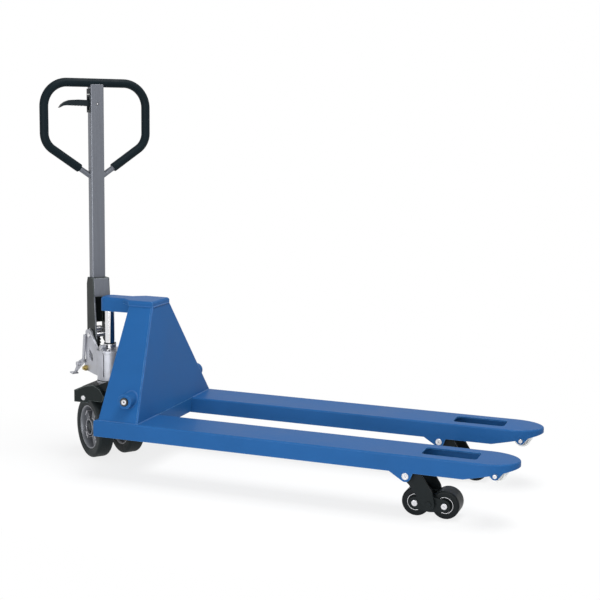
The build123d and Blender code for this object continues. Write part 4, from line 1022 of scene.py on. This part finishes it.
# ---- stage --------------------------------------------------------------------------------------
class TRUCK_OT_stage(bpy.types.Operator):
    """Sets the floor, the lamps and the camera"""
    bl_idname = "truck.stage"
    bl_label = "Stage"

    def white_to_lens(self, tree, shader, factor):
        """Lets the lens, and what the metal mirrors, see plain white in place of part of the shader."""
        path = add_node(tree, "ShaderNodeLightPath")
        seen = maths(tree, "MAXIMUM", path.outputs["Is Camera Ray"], path.outputs["Is Glossy Ray"])
        seen = maths(tree, "MAXIMUM", seen, path.outputs["Is Transmission Ray"])
        white = add_node(tree, "ShaderNodeEmission", {"Color": (1, 1, 1, 1), "Strength": 1.0})
        return add_node(tree, "ShaderNodeMixShader", {0: maths(tree, "MULTIPLY", seen, factor), 1: shader,
                                                      2: white.outputs[0]}).outputs[0]

    def lamp(self, name, place, target, size, power):
        light = bpy.data.lights.new(name, "AREA")
        light.shape = "RECTANGLE"
        light.size = size[0]
        light.size_y = size[1]
        light.energy = power
        lamp = bpy.data.objects.new(name, light)
        bpy.context.scene.collection.objects.link(lamp)
        lamp.location = place
        lamp.rotation_mode = "QUATERNION"
        lamp.rotation_quaternion = (Vector(target) - Vector(place)).to_track_quat("-Z", "Y")

    def execute(self, context):
        scene = context.scene
        stage = scene.truck_stage
        scene.view_settings.view_transform = "Standard"
        start_clean()
        bpy.ops.mesh.primitive_plane_add(size=60, location=(0, 0, cad_box[0].z))
        floor = context.object
        floor.name = "floor"
        material = bpy.data.materials.new("Studio floor")
        material.use_nodes = True
        tree = material.node_tree
        tree.nodes.clear()
        cloth = add_node(tree, "ShaderNodeBsdfDiffuse", {"Color": FLOOR_COLOUR}).outputs[0]
        place = add_node(tree, "ShaderNodeTexCoord").outputs["Object"]
        oval = add_node(tree, "ShaderNodeVectorMath", {0: place, 1: (0.8, 1.3, 0.0)}, operation="MULTIPLY")
        away = add_node(tree, "ShaderNodeVectorMath", {0: oval.outputs["Vector"]}, operation="LENGTH")
        fade = spread(tree, away.outputs["Value"], stage.floor_white, 1.0, stage.floor_reach * 0.6,
                      stage.floor_reach)
        last = add_node(tree, "ShaderNodeOutputMaterial")
        tree.links.new(self.white_to_lens(tree, cloth, fade), last.inputs[0])
        floor.data.materials.append(material)
        world = bpy.data.worlds.new("Studio")
        scene.world = world
        world.use_nodes = True
        tree = world.node_tree
        tree.nodes.clear()
        soft = add_node(tree, "ShaderNodeBackground", {"Color": SKY_COLOUR, "Strength": stage.sky})
        last = add_node(tree, "ShaderNodeOutputWorld")
        tree.links.new(self.white_to_lens(tree, soft.outputs[0], 1.0), last.inputs[0])
        middle = (cad_box[0] + cad_box[1]) / 2
        self.lamp("key", middle + Vector((0.0, -3.2, 0.1)), middle, (2.6, 1.6), stage.key_power)
        self.lamp("top", middle + Vector((0.9, 0.1, 3.2)), middle, (2.4, 1.8), stage.top_power)
        self.lamp("fill", middle + Vector((3.0, -1.4, 0.8)), middle, (2.0, 2.0), stage.fill_power)
        back = Vector((sin(stage.azimuth) * cos(stage.pitch), -cos(stage.azimuth) * cos(stage.pitch),
                       sin(stage.pitch)))
        right = Vector((cos(stage.azimuth), sin(stage.azimuth), 0))
        upright = back.cross(right)
        rolled_right = right * cos(stage.roll) + upright * sin(stage.roll)
        rolled_up = upright * cos(stage.roll) - right * sin(stage.roll)
        camera = bpy.data.objects.new("camera", bpy.data.cameras.new("camera"))
        scene.collection.objects.link(camera)
        camera.data.sensor_width = 36
        camera.data.lens = stage.lens
        camera.data.clip_end = 100
        target = fixed(*CAMERA_TARGET)
        camera.matrix_world = (Matrix.Translation(target + back * stage.distance)
                               @ Matrix((rolled_right, rolled_up, back)).transposed().to_4x4())
        scene.camera = camera
        return {"FINISHED"}


# ---- panel and registration ---------------------------------------------------------------------
OPERATORS = (TRUCK_OT_finishes, TRUCK_OT_stage, TRUCK_OT_shells, TRUCK_OT_welds, TRUCK_OT_load_rollers,
             TRUCK_OT_steering_wheels, TRUCK_OT_pins, TRUCK_OT_pump, TRUCK_OT_handle)


class TRUCK_PT_panel(bpy.types.Panel):
    """Lists the truck's settings and the operators that build it"""
    bl_idname = "TRUCK_PT_panel"
    bl_label = "Hand Pallet Truck"
    bl_space_type = "VIEW_3D"
    bl_region_type = "UI"
    bl_category = "Truck"

    def draw(self, context):
        for settings in (context.scene.truck_colours, context.scene.truck_sizes, context.scene.truck_stage):
            for name in settings.bl_rna.properties.keys():
                if name not in ("name", "rna_type"):
                    self.layout.prop(settings, name)
        for operator in OPERATORS:
            self.layout.operator(operator.bl_idname)


CLASSES = (TruckColours, TruckSizes, TruckStage) + OPERATORS + (TRUCK_PT_panel,)


def register():
    for kind in CLASSES:
        bpy.utils.register_class(kind)
    bpy.types.Scene.truck_colours = bpy.props.PointerProperty(type=TruckColours)
    bpy.types.Scene.truck_sizes = bpy.props.PointerProperty(type=TruckSizes)
    bpy.types.Scene.truck_stage = bpy.props.PointerProperty(type=TruckStage)


def unregister():
    del bpy.types.Scene.truck_stage
    del bpy.types.Scene.truck_sizes
    del bpy.types.Scene.truck_colours
    for kind in reversed(CLASSES):
        bpy.utils.unregister_class(kind)


def main():
    register()
    for operator in OPERATORS:
        group, name = operator.bl_idname.split(".")
        getattr(getattr(bpy.ops, group), name)()


if __name__ == "__main__":
    main()
